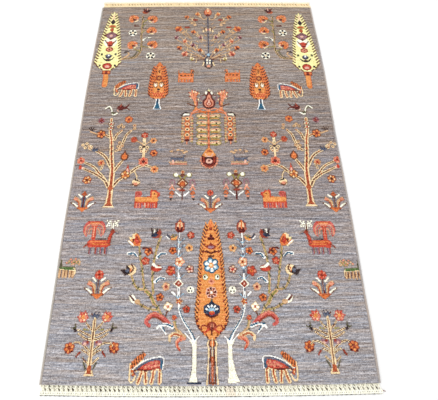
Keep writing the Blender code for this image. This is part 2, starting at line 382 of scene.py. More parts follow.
def pale_cypress(pen):
    """The pale yellow cypress in each far corner, with its foot at the pen's place."""
    outline = (
        (435, 2), (400, 11), (365, 18), (290, 31), (240, 38), (170, 44), (126, 51), (116, 48), (100, 32),
        (88, 14),
    )
    serrated(pen, outline, "lemon", 15, 6, "brown")
    pen.draw(
        ("cream", 0, 396, 12, 60), ("ivory", 0, 250, 60, 60), ("dark", [(0, 390), (12, 372), (0, 354)]),
        ("rust", 0, 346, 30, 14), ("olive", 0, 338, 42, 7), ("rust", 0, 324, 18, 24),
        ("brown", [(0, 314), (36, 290), (0, 262)]), ("mauve", 0, 291, 46, 34), ("pink", 0, 288, 16, 12),
        ("brown", 4, (-20, 294), (0, 302), (20, 294)), ("red", 0, 238, 26, 36), ("maroon", 0, 229, 16, 10),
        ("brick", 0, 206, 34, 28), ("salmon", 0, 205, 22, 18), ("maroon", 0, 204, 8, 8),
        ("slate", 0, 166, 28, 26), ("white", 0, 172, 8, 12), ("brown", 0, 148, 20, 10),
        ("brick", 0, 112, 42, 36), ("red", 0, 112, 30, 26), ("pink", 0, 109, 20, 13),
    )
    pen.both(
        ("moss", [8, 4], (10, 238), (18, 250), (25, 260)), ("red", [9, 5], (4, 240), (16, 250)),
        ("dark", [9, 4], (4, 143), (14, 148), (24, 160)), ("dark", 5, (4, 158), (14, 170)),
        ("moss", 30, 178, 11, 14), ("dark", 32, 115, 10, 12), ("orange", 11, 343, 10, 8),
    )
    pen.draw(
        ("gold", 22, (0, 9), (0, 66)), ("orange", 4, (-8, 4), (-8, 64)), ("orange", 0, 8, 16, 12),
        ("brick", (-17, 66), (-17, 88), (17, 88), (17, 66)),
    )
    for x in (-10, 10):
        pen.dot("orange", x, 78, 9, 14)
    pen.dot("maroon", 0, 72, 10, 11)


def ragged(pen, size):
    """A wide fanned orange flower with dark stripes and a pale foot."""
    for x, y in ((-0.34, -0.02), (0.34, 0.0), (-0.2, 0.18), (0.2, 0.2), (0.0, 0.28)):
        pen.dot("orange", x * size, y * size, 0.36 * size, 0.56 * size)
    for x, y in ((-0.42, 0.14), (0.42, 0.16), (-0.12, 0.42), (0.2, -0.2)):
        pen.dot("salmon", x * size, y * size, 0.18 * size, 0.26 * size)
    for x in (-0.34, -0.17, 0.0, 0.15, 0.32):
        pen.line(
            "rust" if abs(x) > 0.2 else "brick", 3, (0.4 * x * size, -0.2 * size),
            (x * size, (0.46 - abs(x)) * size),
        )
    for x in (-0.26, -0.08, 0.08, 0.24):
        pen.line("gold", 2.6, (0.5 * x * size, 0), (x * size, 0.36 * size))
    pen.draw(
        ("brown", -0.02 * size, -0.04 * size, 0.22 * size, 0.26 * size),
        ("maroon", -0.06 * size, -0.12 * size, 0.18 * size, 0.18 * size),
        ("cream", 0.04 * size, -0.38 * size, 0.5 * size, 0.13 * size),
        ("pink", 0.26 * size, -0.2 * size, 0.14 * size, 0.2 * size),
    )


def green_shrub(pen):
    """The thin green bush with fanned orange flowers, beside the pale cypress."""
    stem = ((-75, -3), (-48, 0), (-22, 4), (-2, 34), (2, 67), (3, 100), (-2, 134), (0, 200), (-2, 250))
    pen.draw(("tan", [9, 7], *stem), ("moss", 4, *stem))
    for x, y, to_x, to_y in (
        (-2, 40, -30, 56), (2, 70, 34, 62), (0, 215, 26, 240), (-2, 190, 14, 204), (0, 150, 12, 168),
    ):
        pen.line("olive", [5, 3], (x, y), (to_x, to_y))
    pen.draw(
        ("tan", 6, (-78, -6), (-58, 12), (-48, 24), (-56, 38)), ("dark", [8, 4], (-66, 35), (-50, 37)),
        ("moss", 4, (-40, 4), (-24, 16), (-14, 40)),
    )
    for x, y, turn in ((-42, 236, 38), (43, 234, -38), (-36, 76, 48), (50, 78, -38)):
        ragged(pen.at(x, y, turn), 46)
    ragged(pen.at(43, 162), 44)
    star(pen.at(-41, 150), 38)
    star(pen.at(46, 15), 40)
    pen.draw(
        ("ivory", [8, 4], (8, 106), (22, 118), (42, 123)), ("navy", 3, (12, 110), (28, 120)),
        ("maroon", [7, 3], (-36, 193), (-16, 192)),
    )
    top = pen.at(13, 288)
    top.draw(
        ("rust", -6, -8, 28, 20), ("maroon", 0, 0, 28, 24), ("dark", [9, 5], (2, 0), (18, 5)),
        ("maroon", [8, 4], (-6, 0), (-14, 14)), ("pink", 4, (2, 4), (4, 18)),
    )


def star(pen, size):
    """A cream flower with five dark petal spots."""
    pen.dot("ivory", 0, 0, size, size)
    for turn in range(0, 360, 72):
        pen.at(0, 0, turn).dot("dark", 0, 0.3 * size, 0.26 * size, 0.34 * size)
    pen.dot("cream", 0, 0, 0.24 * size)


def top_tree(pen):
    """The blossoming tree at the middle of the far end, with its pot at the pen's place."""
    blooms = (
        (-98, 298, "orange", "brown", 22), (-48, 318, "gold", "rust", 22),
        (-135, 223, "orange", "brick", 34), (-67, 205, "orange", "maroon", 22),
        (-35, 173, "mauve", "maroon", 18), (-68, 127, "mauve", "maroon", 20),
        (-143, 172, "mauve", "maroon", 20), (-104, 150, "salmon", "rust", 22),
        (-128, 110, "orange", "maroon", 24), (-37, 96, "orange", "brown", 22),
        (-104, 75, "salmon", "brick", 30), (-72, 47, "sand", "olive", 20),
    )
    for half in pen.mirrored():
        for x, y, *_ in blooms:
            foot = (0.1 * x, 46) if y < 120 else (0.55 * x, y - 10 - 0.36 * abs(x))
            half.draw(
                ("brown" if y < 120 else "tan", 3, foot, (x, y - 8)),
                ("tan", 3, (foot[0] - 3, foot[1] + 8), (0.86 * x, y + 6)),
                ("sand", 3, (0.75 * x, y - 18), (0.7 * x, y + 2)),
            )
        for x, y, petal, heart, size in blooms:
            bloom(half.at(x, y, 0.25 * x), size, petal, heart)
        half.draw(
            ("cream", 9, 221, 7, 22), ("brown", 14, 224, 5, 26), ("cream", 21, 212, 9, 16),
            ("tan", 3.4, (4, 296), (18, 284), (42, 306)),
        )
        for x, y, across in ((58, 282, 26), (95, 236, 26), (74, 262, 14), (60, 250, 16), (112, 205, 16)):
            half.dot("brick" if across > 20 else "tan", x, y, across, 11)
        for x, y in (
            (22, 260), (30, 236), (16, 190), (30, 186), (44, 190), (18, 158), (34, 150), (20, 128),
            (50, 150), (84, 180), (96, 122), (60, 100), (88, 96), (46, 68), (22, 92),
        ):
            half.line("tan", [4, 2.5], (x - 6, y - 5), (x + 3, y + 4))
        half.draw(
            ("navy", 6, (2, 66), (14, 44), (12, 24)), ("slate", 4, (4, 78), (24, 62)),
            ("ivory", 6, 42, 8, 14), ("ivory", 6, 26, 8, 12), ("dark", 5, (12, 26), (15, 14), (10, 2)),
            ("cream", 5, (19, 30), (24, 12)),
        )
    pen.dot("salmon", 0, 222, 14, 18)
    for low in range(84, 300, 22):
        pen.draw(("slate", 5, (0, low), (0, low + 18)), ("navy", 0, low + 4, 6, 10))
    pen.draw(
        ("sky", 0, 72, 12, 16), ("slate", 0, 34, 6, 14), ("salmon", 0, 8, 14, 12), ("dark", 0, -2, 16, 7),
        ("cream", 0, 350, 14, 18), ("rust", 0, 330, 36, 46), ("salmon", 0, 334, 27, 38),
        ("orange", 0, 332, 17, 30), ("cream", 0, 340, 8, 14), ("maroon", 0, 312, 22, 15),
    )


def goat(pen):
    """Grazes to the left with its feet at the pen's height."""
    for top, foot in ((-17, -28), (-10, -5), (17, 11), (34, 35)):
        limb(pen, 11, 12, (top, 42), (0.5 * (top + foot) + 1, 24), (foot, 7), heart="rust")
    for x in (-28, 4, 26):
        pen.line("cream", 3.4, (x - 7, 34), (x, 41), (x + 7, 34))
    pen.draw(
        ("brick", (-48, 34), (-36, 42), (-22, 52), (4, 64), (36, 66), (38, 44), (12, 39), (-6, 38),
         (-22, 40)),
        ("red", (-24, 43), (-14, 54), (4, 62), (34, 64), (35, 46), (12, 41), (-4, 40)),
        ("rose", (-16, 45), (-4, 56), (12, 61), (33, 62), (34, 48), (12, 43)),
    )
    for x, y in ((-8, 46), (2, 50), (12, 47), (10, 57), (21, 50), (30, 52), (24, 59)):
        pen.draw(("salmon", x, y, 9, 7), ("brick", x + 5, y - 4, 4.5))
    pen.draw(
        ("maroon", 3.4, (-46, 36), (-30, 40), (-8, 38), (12, 39)),
        ("slate", 6, (-34, 44), (-12, 57), (12, 66), (38, 68)), ("slate", 9, (36, 66), (39, 58), (38, 45)),
        ("blue", 4, (39, 62), (39, 46)),
        ("white", [4, 3], (-46, 42), (-28, 54), (-10, 64), (16, 72), (36, 74), (45, 68), (43, 42)),
        ("brick", (-52, 40), (-44, 40), (-36, 26), (-46, 22)), ("orange", 4, (-46, 38), (-43, 27)),
        ("cream", 4.5, (-53, 56), (-54, 34), (-52, 12), (-43, 10), (-35, 24)),
        ("orange", (-53, 42), (-51, 60), (-34, 76), (-14, 86), (-9, 80), (-17, 68), (-31, 57), (-43, 44)),
    )
    for share in np.linspace(0, 1, 6):
        x, y = -46 + 31 * share, 48 + 28 * share
        pen.line("brown", [3.6, 3], (x, y - 3), (x - 3, y + 11))
    pen.draw(("cream", [3, 2.5], (-42, 42), (-28, 56), (-14, 67)), ("cream", -46, 31, 4))


def orange_cypress(pen):
    """The shorter orange cypress on a blue foot."""
    outline = ((247, 2), (228, 14), (200, 22), (150, 32), (100, 36), (72, 36), (60, 28), (52, 8))
    serrated(pen, outline, "orange", 14, 4, "maroon")
    pen.fill("gold", [(0, 232), (9, 200), (15, 150), (21, 100), (12, 60)])
    for y in range(70, 232, 14):
        half_width = np.interp(y, (52, 75, 100, 150, 200, 245), (18, 25, 27, 22, 13, 3))
        for x in (-half_width, half_width):
            pen.dot("dark", x, y, 5.5, 6.5)
    pen.draw(
        ("rust", 2.6, (-17, 120), (-12, 168), (0, 214), (12, 168), (17, 120)), ("brown", 0, 196, 6, 20),
    )
    rosette(pen.at(0, 161), 28, 8, "brown", "gold", "rust")
    pen.fill("gold", [(0, 86), (12, 94), (22, 80), (22, 60), (0, 55)])
    for x in (-20, -10, 0, 10):
        pen.draw(("red", 3.6, (x, 62), (x + 10, 84)), ("red", 3.6, (-x, 62), (-x - 10, 84)))
    pen.draw(("brick", 0, 90, 12, 8), ("dark", 0, 102, 13, 11))
    pen.both(
        ("brown", 12, 126, 20, 32), ("sand", 12, 126, 14, 25), ("white", 12, 124, 7, 15),
        ("rust", 3, (12, 138), (12, 128)), ("white", [3.6, 4.5], (6, 52), (7, 30), (15, 4)),
    )
    pen.draw(("blue", [(4, 54), (5, 28), (12, 6)]), ("navy", 0, 42, 6, 22), ("sky", 4, (-14, 2), (14, 2)))


def small_beast(pen):
    """A little orange animal standing on a line, faced to the left, with upright tail."""
    pen.fill("orange", (-32, 4), (-32, 48), (-20, 54), (30, 50), (31, 4))
    for x in (-25, -12, 1, 14):
        pen.draw(("taupe", 4, (x, 7), (x, 17)), ("rust", 2.6, (x + 6, 6), (x + 6, 28)))
    pen.draw(("gold", 4, (-27, 24), (27, 23)), ("salmon", 4, (-28, 30), (28, 29)))
    for x, across in ((-20, 10), (-4, 9), (9, 8), (22, 8)):
        pen.dot("brown", x, 40, across, 9)
    pen.draw(
        ("orange", [5, 3], (-30, 46), (-32, 66)), ("salmon", [4, 3], (-20, 50), (-12, 62)),
        ("orange", 5, (20, 48), (22, 68), (32, 64)), ("brown", [5, 3], (24, 52), (30, 66)),
    )


def pomegranate(pen):
    """A crowned pomegranate, ring within ring, with its foot at the pen's place."""
    pen.draw(
        ("ivory", [(0, 104), (5, 80), (14, 90), (16, 68)]), ("lemon", 0, 88, 8, 16),
        ("maroon", 0, 28, 54, 56), ("maroon", [(0, 90), (9, 76), (17, 44)]),
    )
    pen.both(
        ("maroon", [6, 3], (7, 60), (15, 70), (26, 64)), ("mauve", 4, (26, 40), (34, 50), (30, 62)),
        ("slate", 34, 28, 7, 10),
    )
    pen.draw(
        ("salmon", 0, 28, 39, 41), ("salmon", [(0, 76), (5, 66), (12, 40)]), ("brick", 0, 25, 27, 29),
        ("brick", (-10, 30), (0, 62), (10, 30)), ("pink", 0, 25, 16, 18),
        ("pink", (-5, 30), (0, 50), (5, 30)), ("rust", 0, 24, 6, 9),
    )


def leafy_stem(pen):
    """The centre plant: crowned pomegranate, leafy orange stem and the red disc it stands on."""
    for y in (38, 68, 97, 130, 163):
        for half in pen.mirrored():
            half.at(25, y).draw(
                ("olive", 1, 0, 47, 22), ("sand", 1, 1, 41, 17), ("tan", 15, 3, 12, 8),
                ("salmon", [4, 3], (-22, -2), (-4, 4), (8, 7)), ("olive", 3, (-18, -7), (8, -6)),
                ("taupe", 3, (-14, 8), (14, 9)), ("brown" if y != 130 else "dark", 5, -1, 8, 7),
            )
    for y in (52, 83, 114, 147):
        pen.both(("olive", 3, (6, y), (28, y + 2), (48, y - 4)), ("gold", 3, (10, y + 4), (40, y + 3)))
    pen.draw(("orange", 8, (0, 14), (0, 190)), ("salmon", 3.4, (0, 22), (0, 186)))
    for y in range(30, 186, 30):
        pen.dot("rust", 0, y, 8, 13)
    pen.both(
        ("orange", 6, (0, 184), (26, 184), (46, 196), (60, 186)),
        ("salmon", 5, (4, 190), (24, 200), (44, 190), (70, 178)),
        ("orange", 4, (10, 176), (36, 182), (66, 174)),
    )
    pomegranate(pen.at(2, 197))
    disc(pen.at(0, -34))


def disc(pen):
    """The red disc under the centre plant, around the pen's place."""
    pen.draw(("gold", [(0, 52), (12, 42), (25, 20), (29, 12)]), ("rust", 0, 34, 20, 14))
    for turn in range(-105, 106, 21):
        pen.at(0, -2, 180 + turn).dot("salmon", 0, 28, 10, 15)
    pen.fill("maroon", [(12, 12), (28, 18), (28, -10), (20, -24), (0, -35)])
    pen.both(("brick", 20, 0, 9, 28), ("brick", 4, (8, -26), (16, -20)))
    pen.draw(
        ("gold", 14, (0, 26), (0, 23)), ("pink", 5, (-14, 24), (-8, 15), (8, 15), (14, 24)),
        ("dark", 0, 7, 34, 6), ("pink", 0, -6, 25, 21), ("maroon", 0, -5, 10, 9), ("brick", 0, -29, 14, 9),
    )


def hanging_spray(pen):
    """The golden flower and bead chain beside the centre plant, on the left of it."""
    pen.draw(
        ("salmon", 6, (-44, 190), (-62, 180), (-72, 158)),
        ("salmon", [11, 7], (-50, 196), (-52, 230), (-58, 258)),
        ("gold", 4, (-52, 196), (-55, 230), (-60, 258)), ("brick", [6, 4], (-45, 214), (-43, 238)),
        ("brown", [7, 4], (-50, 208), (-68, 215), (-84, 221)),
    )
    head = pen.at(-58, 260, 6)
    for x, low, high in ((-15, -12, 18), (-5, -26, 26), (6, -22, 22), (15, -4, 16)):
        head.draw(
            ("salmon", [5, 8], (0.5 * x, low), (x, high)),
            ("orange", 4, (0.5 * x + 3, low + 6), (x + 3, high - 6)),
        )
    for x, y in ((-19, 18), (-4, 30), (18, 18), (-18, -2), (12, -12), (6, 26)):
        head.draw(("brick", x, y, 6, 6), ("cream", x + 4, y - 8, 5, 9))
    pen.draw(
        ("ivory", [9, 6], (-98, 168), (-78, 170)), ("dark", [5, 3], (-106, 164), (-94, 177), (-80, 177)),
    )
    for y in range(42, 160, 12):
        for side in (-1, 1):
            pen.draw(
                ("tan", -83 + 17 * side, y + 4, 11, 9),
                ("olive" if y % 24 > 12 else "rust", -83 + 20 * side, y, 6, 6),
            )
    pen.line("orange", 17, (-83, 150), (-83, 54))
    for y in (149, 124, 99, 74):
        pen.draw(
            ("rust", -83, y - 12, 18, 8), ("orange", -83, y, 25, 21), ("sand", -83, y, 17, 15),
            ("dark" if y != 124 else "brick", -83, y, 9, 8),
        )
    pen.draw(("maroon", -83, 50, 20, 13), ("salmon", 5, (-83, 42), (-83, 34)))


def big_tree(pen):
    """The large branching tree near each side, in the left one's own places."""
    limbs = (
        (12, 8, (-368, 57), (-395, 72), (-410, 80)),
        (14, 9, (-353, -146), (-330, -117), (-305, -100), (-285, -84)),
        (12, 8, (-285, -84), (-268, -68), (-240, -58), (-205, -68)),
        (15, 8, (-366, -143), (-384, -113), (-407, -87), (-430, -62), (-480, -38)),
        (13, 8, (-378, -120), (-410, -97), (-440, -82), (-474, -66)),
        (14, 9, (-363, -66), (-386, -26), (-412, -4), (-455, 16)),
        (13, 9, (-352, -82), (-334, -54), (-320, -32)), (11, 8, (-362, 55), (-354, 78), (-338, 94)),
        (10, 9, (-352, 4), (-338, 16), (-326, 46)), (11, 9, (-327, 46), (-318, 74), (-302, 94)),
        (8, 6, (-400, -74), (-392, -52)),
    )
    for width, tip, *points in limbs:
        limb(pen, width, tip, *points)
        for x, y in points[1:]:
            pen.dot("rust", x, y, 6, 5)
    limb(
        pen, 21, 11, (-357, -214), (-357, -150), (-357, -83), (-366, -20), (-373, 47), (-382, 92),
        (-383, 148), heart="rust",
    )
    pen.draw(
        ("cream", (-380, -224), (-336, -224), (-343, -213), (-347, -190), (-367, -190), (-371, -213)),
        ("rust", (-371, -217), (-344, -217), (-351, -205), (-353, -160), (-346, -150), (-353, -138),
         (-361, -138), (-368, -150), (-361, -160), (-363, -205)),
        ("brick", 3, (-370, -216), (-345, -216)),
        ("brick", 3, (-357, -205), (-357, -165)),
    )
    for y in range(-130, 40, 22):
        pen.dot("brick" if y < -60 else "brown", -357 - 0.12 * max(y + 83, 0), y, 6, 13)
    tree_flowers(pen)
    side_shrub(pen)


def tree_flowers(pen):
    """Flowers, fruit and birds of the large tree."""
    pear = pen.at(-317, -18)
    pear.draw(
        ("brown", 0, -3, 30, 32), ("brown", (-12, 4), (0, 23), (12, 4)), ("orange", 0, -3, 21, 23),
        ("orange", (-6, 4), (0, 15), (6, 4)),
    )
    pen.draw(("red", (-309, -84), (-301, -52), (-293, -84)), ("pink", -301, -78, 7, 18))
    ring = pen.at(-308, -97)
    rosette(ring, 34, 6, "gold", "tan", "brown")
    ring.dot("rust", 0, 0, 12)
    drop = pen.at(-266, -128)
    drop.draw(
        ("sand", 4, (-8, 44), (0, 28), (2, 14)), ("cream", 0, 0, 31, 28), ("salmon", -2, -5, 18, 12),
        ("brown", 4, (-13, -4), (0, -13), (13, -4)), ("dark", [7, 3], (-2, 11), (12, 5)),
    )
    rosettes(
        pen, 6, (-445, -117, 31, "gold", "brown", "brick"), (-402, -47, 26, "rust", "red", "tan"),
        (-478, -38, 28, "red", "brick", "salmon"), (-422, 141, 26, "maroon", "brick", "mauve"),
        (-315, 146, 30, "orange", "brick", "rust"), (-416, 78, 36, "orange", "brick", "brown"),
    )
    pen.draw(("red", -477, -66, 11, 18), ("pink", -468, -68, 9))
    bird(pen.at(-433, 7), "slate", "navy")
    for x, y in ((-480, 30), (-466, 36), (-456, 26), (-470, 18), (-448, 22)):
        pen.draw(("cream", x, y, 12), ("brick", x, y, 5))
    for y in (125, 107):
        rosette(pen.at(-382, y), 22, 6, "sand", "red", "brown")
    pen.draw(
        ("moss", 5, (-385, 188), (-400, 203), (-412, 196)),
        ("ivory", 5, (-414, 197), (-400, 209), (-388, 196), (-382, 168)),
        ("moss", [9, 4], (-383, 178), (-366, 174)), ("ivory", 6, (-376, 168), (-364, 176)),
    )
    red_bird(pen.at(-350, 200))
    for turn in (-60, -25, 10, 40):
        leaf(pen.at(-455, 92, turn), 22, 4, "dark")
    pen.line("tan", 6, (-460, 90), (-440, 82), (-430, 80))
    for x, y in (
        (-338, 10), (-345, 24), (-330, 26), (-340, 40), (-352, 112), (-342, 120), (-333, 112), (-288, 104),
        (-290, 118),
    ):
        pen.draw(("tan", x, y, 13), ("brick" if y % 4 else "moss", x, y, 5))


def bird(pen, body, wing):
    """A small bird looking to the right, around the pen's place."""
    pen.draw(
        (body, (-14, 2), (-4, 9), (8, 5), (16, 9), (10, -5), (-4, -7)), (wing, [4, 2], (-4, 4), (0, 14)),
        (wing, [4, 2], (4, 2), (11, 13)),
    )


def red_bird(pen):
    """A round red bird with spread tail feathers."""
    pen.draw(
        ("maroon", -2, 2, 28, 24), ("brick", [7, 3], (-4, 8), (0, 20)),
        ("maroon", [8, 4], (8, 0), (20, 6), (30, 18)), ("maroon", [6, 3], (10, -2), (24, 0), (34, -8)),
        ("pink", 4, (-16, -8), (-10, -14)),
    )


def side_shrub(pen):
    """The small flowering bush between the big tree and the middle."""
    limb(pen, 11, 8, (-247, 66), (-247, 30), (-246, -25), heart="sand")
    for x, y in ((-285, 50), (-213, 48), (-262, 8), (-230, 6)):
        pen.line("tan", 4, (-247, 28), (0.5 * (x - 247), 0.5 * (y + 34)), (x, y))
    rosettes(
        pen, 6, (-247, 73, 26, "red", "salmon", "brick"), (-287, 53, 25, "brick", "red", "rust"),
        (-212, 49, 26, "orange", "brown", "tan"), (-208, -6, 28, "orange", "maroon", "brick"),
        (-202, -74, 30, "orange", "rust", "tan"), (-245, -42, 36, "red", "maroon", "salmon"),
    )
    for x, y in ((-261, 20), (-233, 20), (-247, 38), (-255, 2), (-239, 2)):
        pen.draw(("cream", x, y, 12), ("dark" if y > 10 else "brick", x, y, 6))
    pen.dot("dark", -247, 22, 12, 10)


def faint_animal(pen):
    """A blue-grey animal below a small orange bush, on a ground line."""
    pen.line("slate", 9, (-22, 21), (18, 20))
    for x in (-26, -12, 6, 20):
        pen.line("slate", [5, 4], (x, 20), (x - 1, 9))
    pen.draw(("slate", 4, (-24, 24), (-32, 27)), ("slate", [6, 4], (18, 22), (22, 34)))
    for x, y in ((-26, 52), (-12, 46), (4, 44), (14, 56), (22, 46), (-2, 58), (30, 50), (-20, 58)):
        pen.dot("tan" if x % 4 else "taupe", x, y, 13, 8)
    pen.draw(
        ("tan", 5, (-32, 5), (32, 5)), ("pink", 8, (-20, 12), (-18, 5)),
        ("salmon", 3, (-30, -2), (32, -2)),
    )


def bouquet(pen):
    """A posy with a lozenge flower in the middle and drooping pink sprays."""
    pen.draw(
        ("brick", 5, (0, 62), (0, 38)), ("olive", 6, (-25, 104), (-12, 98), (0, 80), (12, 98), (25, 104)),
        ("brown", 0, 102, 17, 14), ("tan", 0, 114, 15, 13), ("rust", 0, 114, 10, 9),
        ("brown", [(0, 91), (23, 67), (0, 44)]), ("sand", [(0, 84), (16, 67), (0, 51)]),
        ("rust", 0, 67, 23, 23), ("orange", 0, 67, 12), ("brick", 0, 41, 24, 9), ("pink", -14, 46, 16, 6),
        ("maroon", 4, (0, 38), (0, 4)),
    )
    pen.both(
        ("olive", 25, 102, 19, 18), ("ivory", 24, 103, 15, 15), ("white", [6, 5], (7, 20), (24, 35)),
        ("mauve", [5, 4], (27, 62), (31, 80), (42, 80), (46, 62)),
        ("taupe", 4, (33, 66), (37, 72), (41, 66)), ("salmon", [7, 5], (30, 44), (37, 56), (45, 44)),
        ("pink", 37, 60, 10, 8), ("rust", [5, 4], (31, 27), (38, 38), (45, 27)),
        ("orange", 5, (35, 24), (42, 33)), ("salmon", 39, 16, 12, 9), ("dark", 40, 7, 10, 7),
    )


def dog(pen):
    """A thick-set dog looking to the right."""
    pen.fill("red", (-44, 2), (-44, 48), (-20, 44), (38, 46), (38, 2))
    for x in (-36, -24, 6, 28):
        pen.line("salmon", 3, (x, 19), (x, 4))
    for x in (-30, -16, 14, 22):
        pen.line("mauve", 3.4, (x, 18), (x, 1))
    pen.draw(
        ("pink", 4, (-6, 19), (-6, 6)), ("taupe", 7, (-10, 9), (-10, 1)),
        ("gold", 20, (-34, 34), (-10, 33), (30, 33)), ("orange", 3.4, (-38, 26), (34, 25)),
        ("red", (10, 42), (10, 66), (15, 73), (21, 68), (29, 71), (35, 64), (46, 60), (46, 51), (38, 42)),
        ("gold", (15, 42), (16, 61), (21, 67), (28, 62), (38, 56), (34, 42)), ("maroon", 26, 56, 5),
        ("rose", (-44, 44), (-44, 64), (-22, 66), (-18, 54), (-26, 44)),
        ("brick", 3, (-39, 46), (-39, 59), (-24, 60)), ("brick", 3, (-33, 46), (-33, 53), (-24, 54)),
    )


def vase(pen, top=0):
    """A vase of curled leaves; top is the size of the flower over it."""
    pen.both(
        ("brown", [6, 4], (14, 12), (25, 22), (42, 34)), ("ivory", [7, 4], (20, 21), (28, 28), (37, 33)),
        ("tan", [11, 8], (8, 16), (13, 40), (30, 54)), ("rust", [5, 5], (12, 18), (18, 38), (34, 48)),
        ("salmon", 27, 49, 15, 11), ("ivory", [6, 5], (8, 56), (20, 66)), ("slate", 3.4, (5, 16), (5, 56)),
    )
    pen.draw(
        ("maroon", 3.4, (0, 16), (0, 62)), ("orange", [(19, 16), (7, 5), (0, 0)]),
        ("rust", 4, (-20, 16), (20, 16)),
    )
    if top:
        rosette(pen.at(0, 76), top, 8, "red", "brick", "red")
    else:
        pen.fill("rust", (-11, 66), (0, 79), (11, 66), (0, 58))


def palm(pen):
    """A drooping red palm with its foot at the pen's place."""
    pen.both(
        ("rose", 19, 34, 38, 56), ("taupe", 18, 30, 29, 46),
        ("salmon", [5, 4], (4, 50), (20, 50), (30, 38), (31, 14)),
        ("rose", [4, 3], (5, 42), (17, 43), (24, 32), (24, 12)),
        ("salmon", [4.5, 3], (5, 34), (12, 35), (17, 26), (17, 9)),
        ("ground", 7, (11, 4), (14, 12), (26, 1)),
    )
    pen.draw(
        ("red", (-25, 61), (25, 61), (5, 40), (-5, 40)),
        ("salmon", (-20, 57), (20, 57), (3, 42), (-3, 42)), ("gold", 3, (-14, 55), (14, 55)),
        ("red", [11, 14], (0, 42), (0, 2)), ("salmon", 4, (0, 44), (0, 6)),
    )


def deer(pen):
    """A stag walking to the right with the palm standing on its back."""
    palm(pen.at(-24, 54))
    for x in (-30, -9, 7, 23):
        pen.draw(
            ("mauve", 6, (x + 1, 30), (x + 1, 3)), ("brick", 3, (x - 3, 30), (x - 3, 4)),
            ("slate", 2.6, (x + 3, 22), (x + 3, 4)),
        )
    pen.draw(
        ("red", (-40, 27), (-42, 42), (-34, 50), (32, 50), (36, 32), (26, 25), (-36, 24)),
        ("orange", (-36, 40), (-30, 47), (26, 46), (30, 33), (-18, 32)), ("red", 3, (-30, 40), (26, 39)),
        ("dark", 4, (-16, 53), (18, 53)), ("brick", [5, 3], (-40, 36), (-52, 25)),
        ("brick", [14, 10], (29, 42), (33, 62), (40, 77)), ("red", [7, 4], (28, 42), (32, 62), (38, 74)),
        ("brick", 41, 79, 18, 13), ("taupe", [4, 2.5], (46, 82), (62, 71)),
        ("slate", [3, 2.5], (48, 75), (60, 71)),
    )
    for half in pen.at(36, 90).mirrored():
        half.line("ivory", [4, 3], (3, 0), (4, 18), (18, 14))
        for x, y in ((8, 25), (14, 20), (19, 27), (10, 10), (18, 9)):
            half.dot("ivory", x, y, 6.5)
    pen.line("brown", [4, 3], (36, 84), (36, 106))


def white_tree(pen):
    """The white and blue stemmed tree beside the tall cypress, in the left one's own places."""
    pen.fill(
        "ivory", (-66, -765), (-57, -738), (-55, -690), (-57, -664), (-66, -650), (-52, -658), (-42, -649),
        (-43, -664), (-44, -738), (-40, -765),
    )
    stem = ((-102, -312), (-103, -420), (-101, -480), (-100, -545), (-90, -585), (-64, -625), (-50, -655))
    pen.draw(
        ("white", [4.5, 9], *stem), ("blue", [2.6, 4], (-98, -556), (-86, -590), (-60, -628), (-48, -650)),
    )
    for y in (-345, -368, -395, -450, -508, -530):
        pen.line("slate", 3, (-102, y), (-102, y + 10))
    for y in (-352, -374, -398, -438, -472, -530):
        for reach in (-17, 17):
            pen.draw(
                ("sky", [3, 2.5], (-102, y), (-102 + reach, y + 15)),
                ("slate", 2.5, (-102 + 0.5 * reach, y + 6), (-102 + 0.6 * reach, y + 16)),
            )
    pen.draw(("white", [5, 3], (-50, -655), (-34, -640)), ("white", [5, 3], (-52, -660), (-78, -632)))
    cup = pen.at(-102, -297)
    cup.draw(
        ("brick", [(0, 30), (9, 20), (15, 16), (17, -6), (8, -19)]),
        ("salmon", [(4, 20), (10, 14), (13, -5), (6, -14)]),
    )
    for x in (-7, 7):
        cup.draw(("cream", 4, (x, -2), (0.6 * x, 17)), ("slate", 3, (1.6 * x, 18), (x, 25)))
    cup.draw(("orange", 4, (0, -4), (0, 24)), ("maroon", [(0, -8), (4, 2), (12, 0), (7, -18)]))
    small_flowers(pen.at(0, 2))


def small_flowers(pen):
    """The small flowers beside the white tree's stem."""
    rosettes(
        pen, 5, (-64, -327, 25, "red", "salmon", "brick"), (-124, -380, 25, "orange", "brown", "brick"),
        (-69, -371, 26, "gold", "brown", "tan"), (-100, -417, 30, "sand", "orange", "salmon"),
        (-128, -446, 32, "red", "orange", "brick"), (-66, -441, 26, "pink", "red", "brown"),
        (-142, -496, 25, "salmon", "brick", "tan"), (-160, -529, 24, "orange", "brown", "brick"),
        (-75, -565, 22, "red", "brown", "brick"), (-99, -541, 20, "brick", "gold", "tan"),
        (-112, -589, 16, "red", "orange", "rust"),
    )
    rosette(pen.at(-133, -557), 27, 4, "ivory", "salmon", "cream")
    pen.draw(
        ("brown", 4, (-134, -570), (-142, -592)),
        ("ivory", (-102, -469), (-85, -488), (-102, -501), (-119, -488)),
        ("brick", (-102, -475), (-90, -488), (-102, -498), (-114, -488)), ("pink", -102, -486, 7),
        ("ivory", -63, -506, 24, 22),
    )
    for x, y in ((-68, -510), (-59, -510), (-63, -501)):
        pen.dot("dark", x, y, 6)
    pen.line("white", 6, (-122, -513), (-112, -522))
    bird(pen.at(-124, -338), "gold", "olive")
    pen.draw(
        ("navy", [5, 3], (-144, -324), (-134, -336), (-122, -332)),
        ("white", 3, (-148, -330), (-138, -340)),
    )


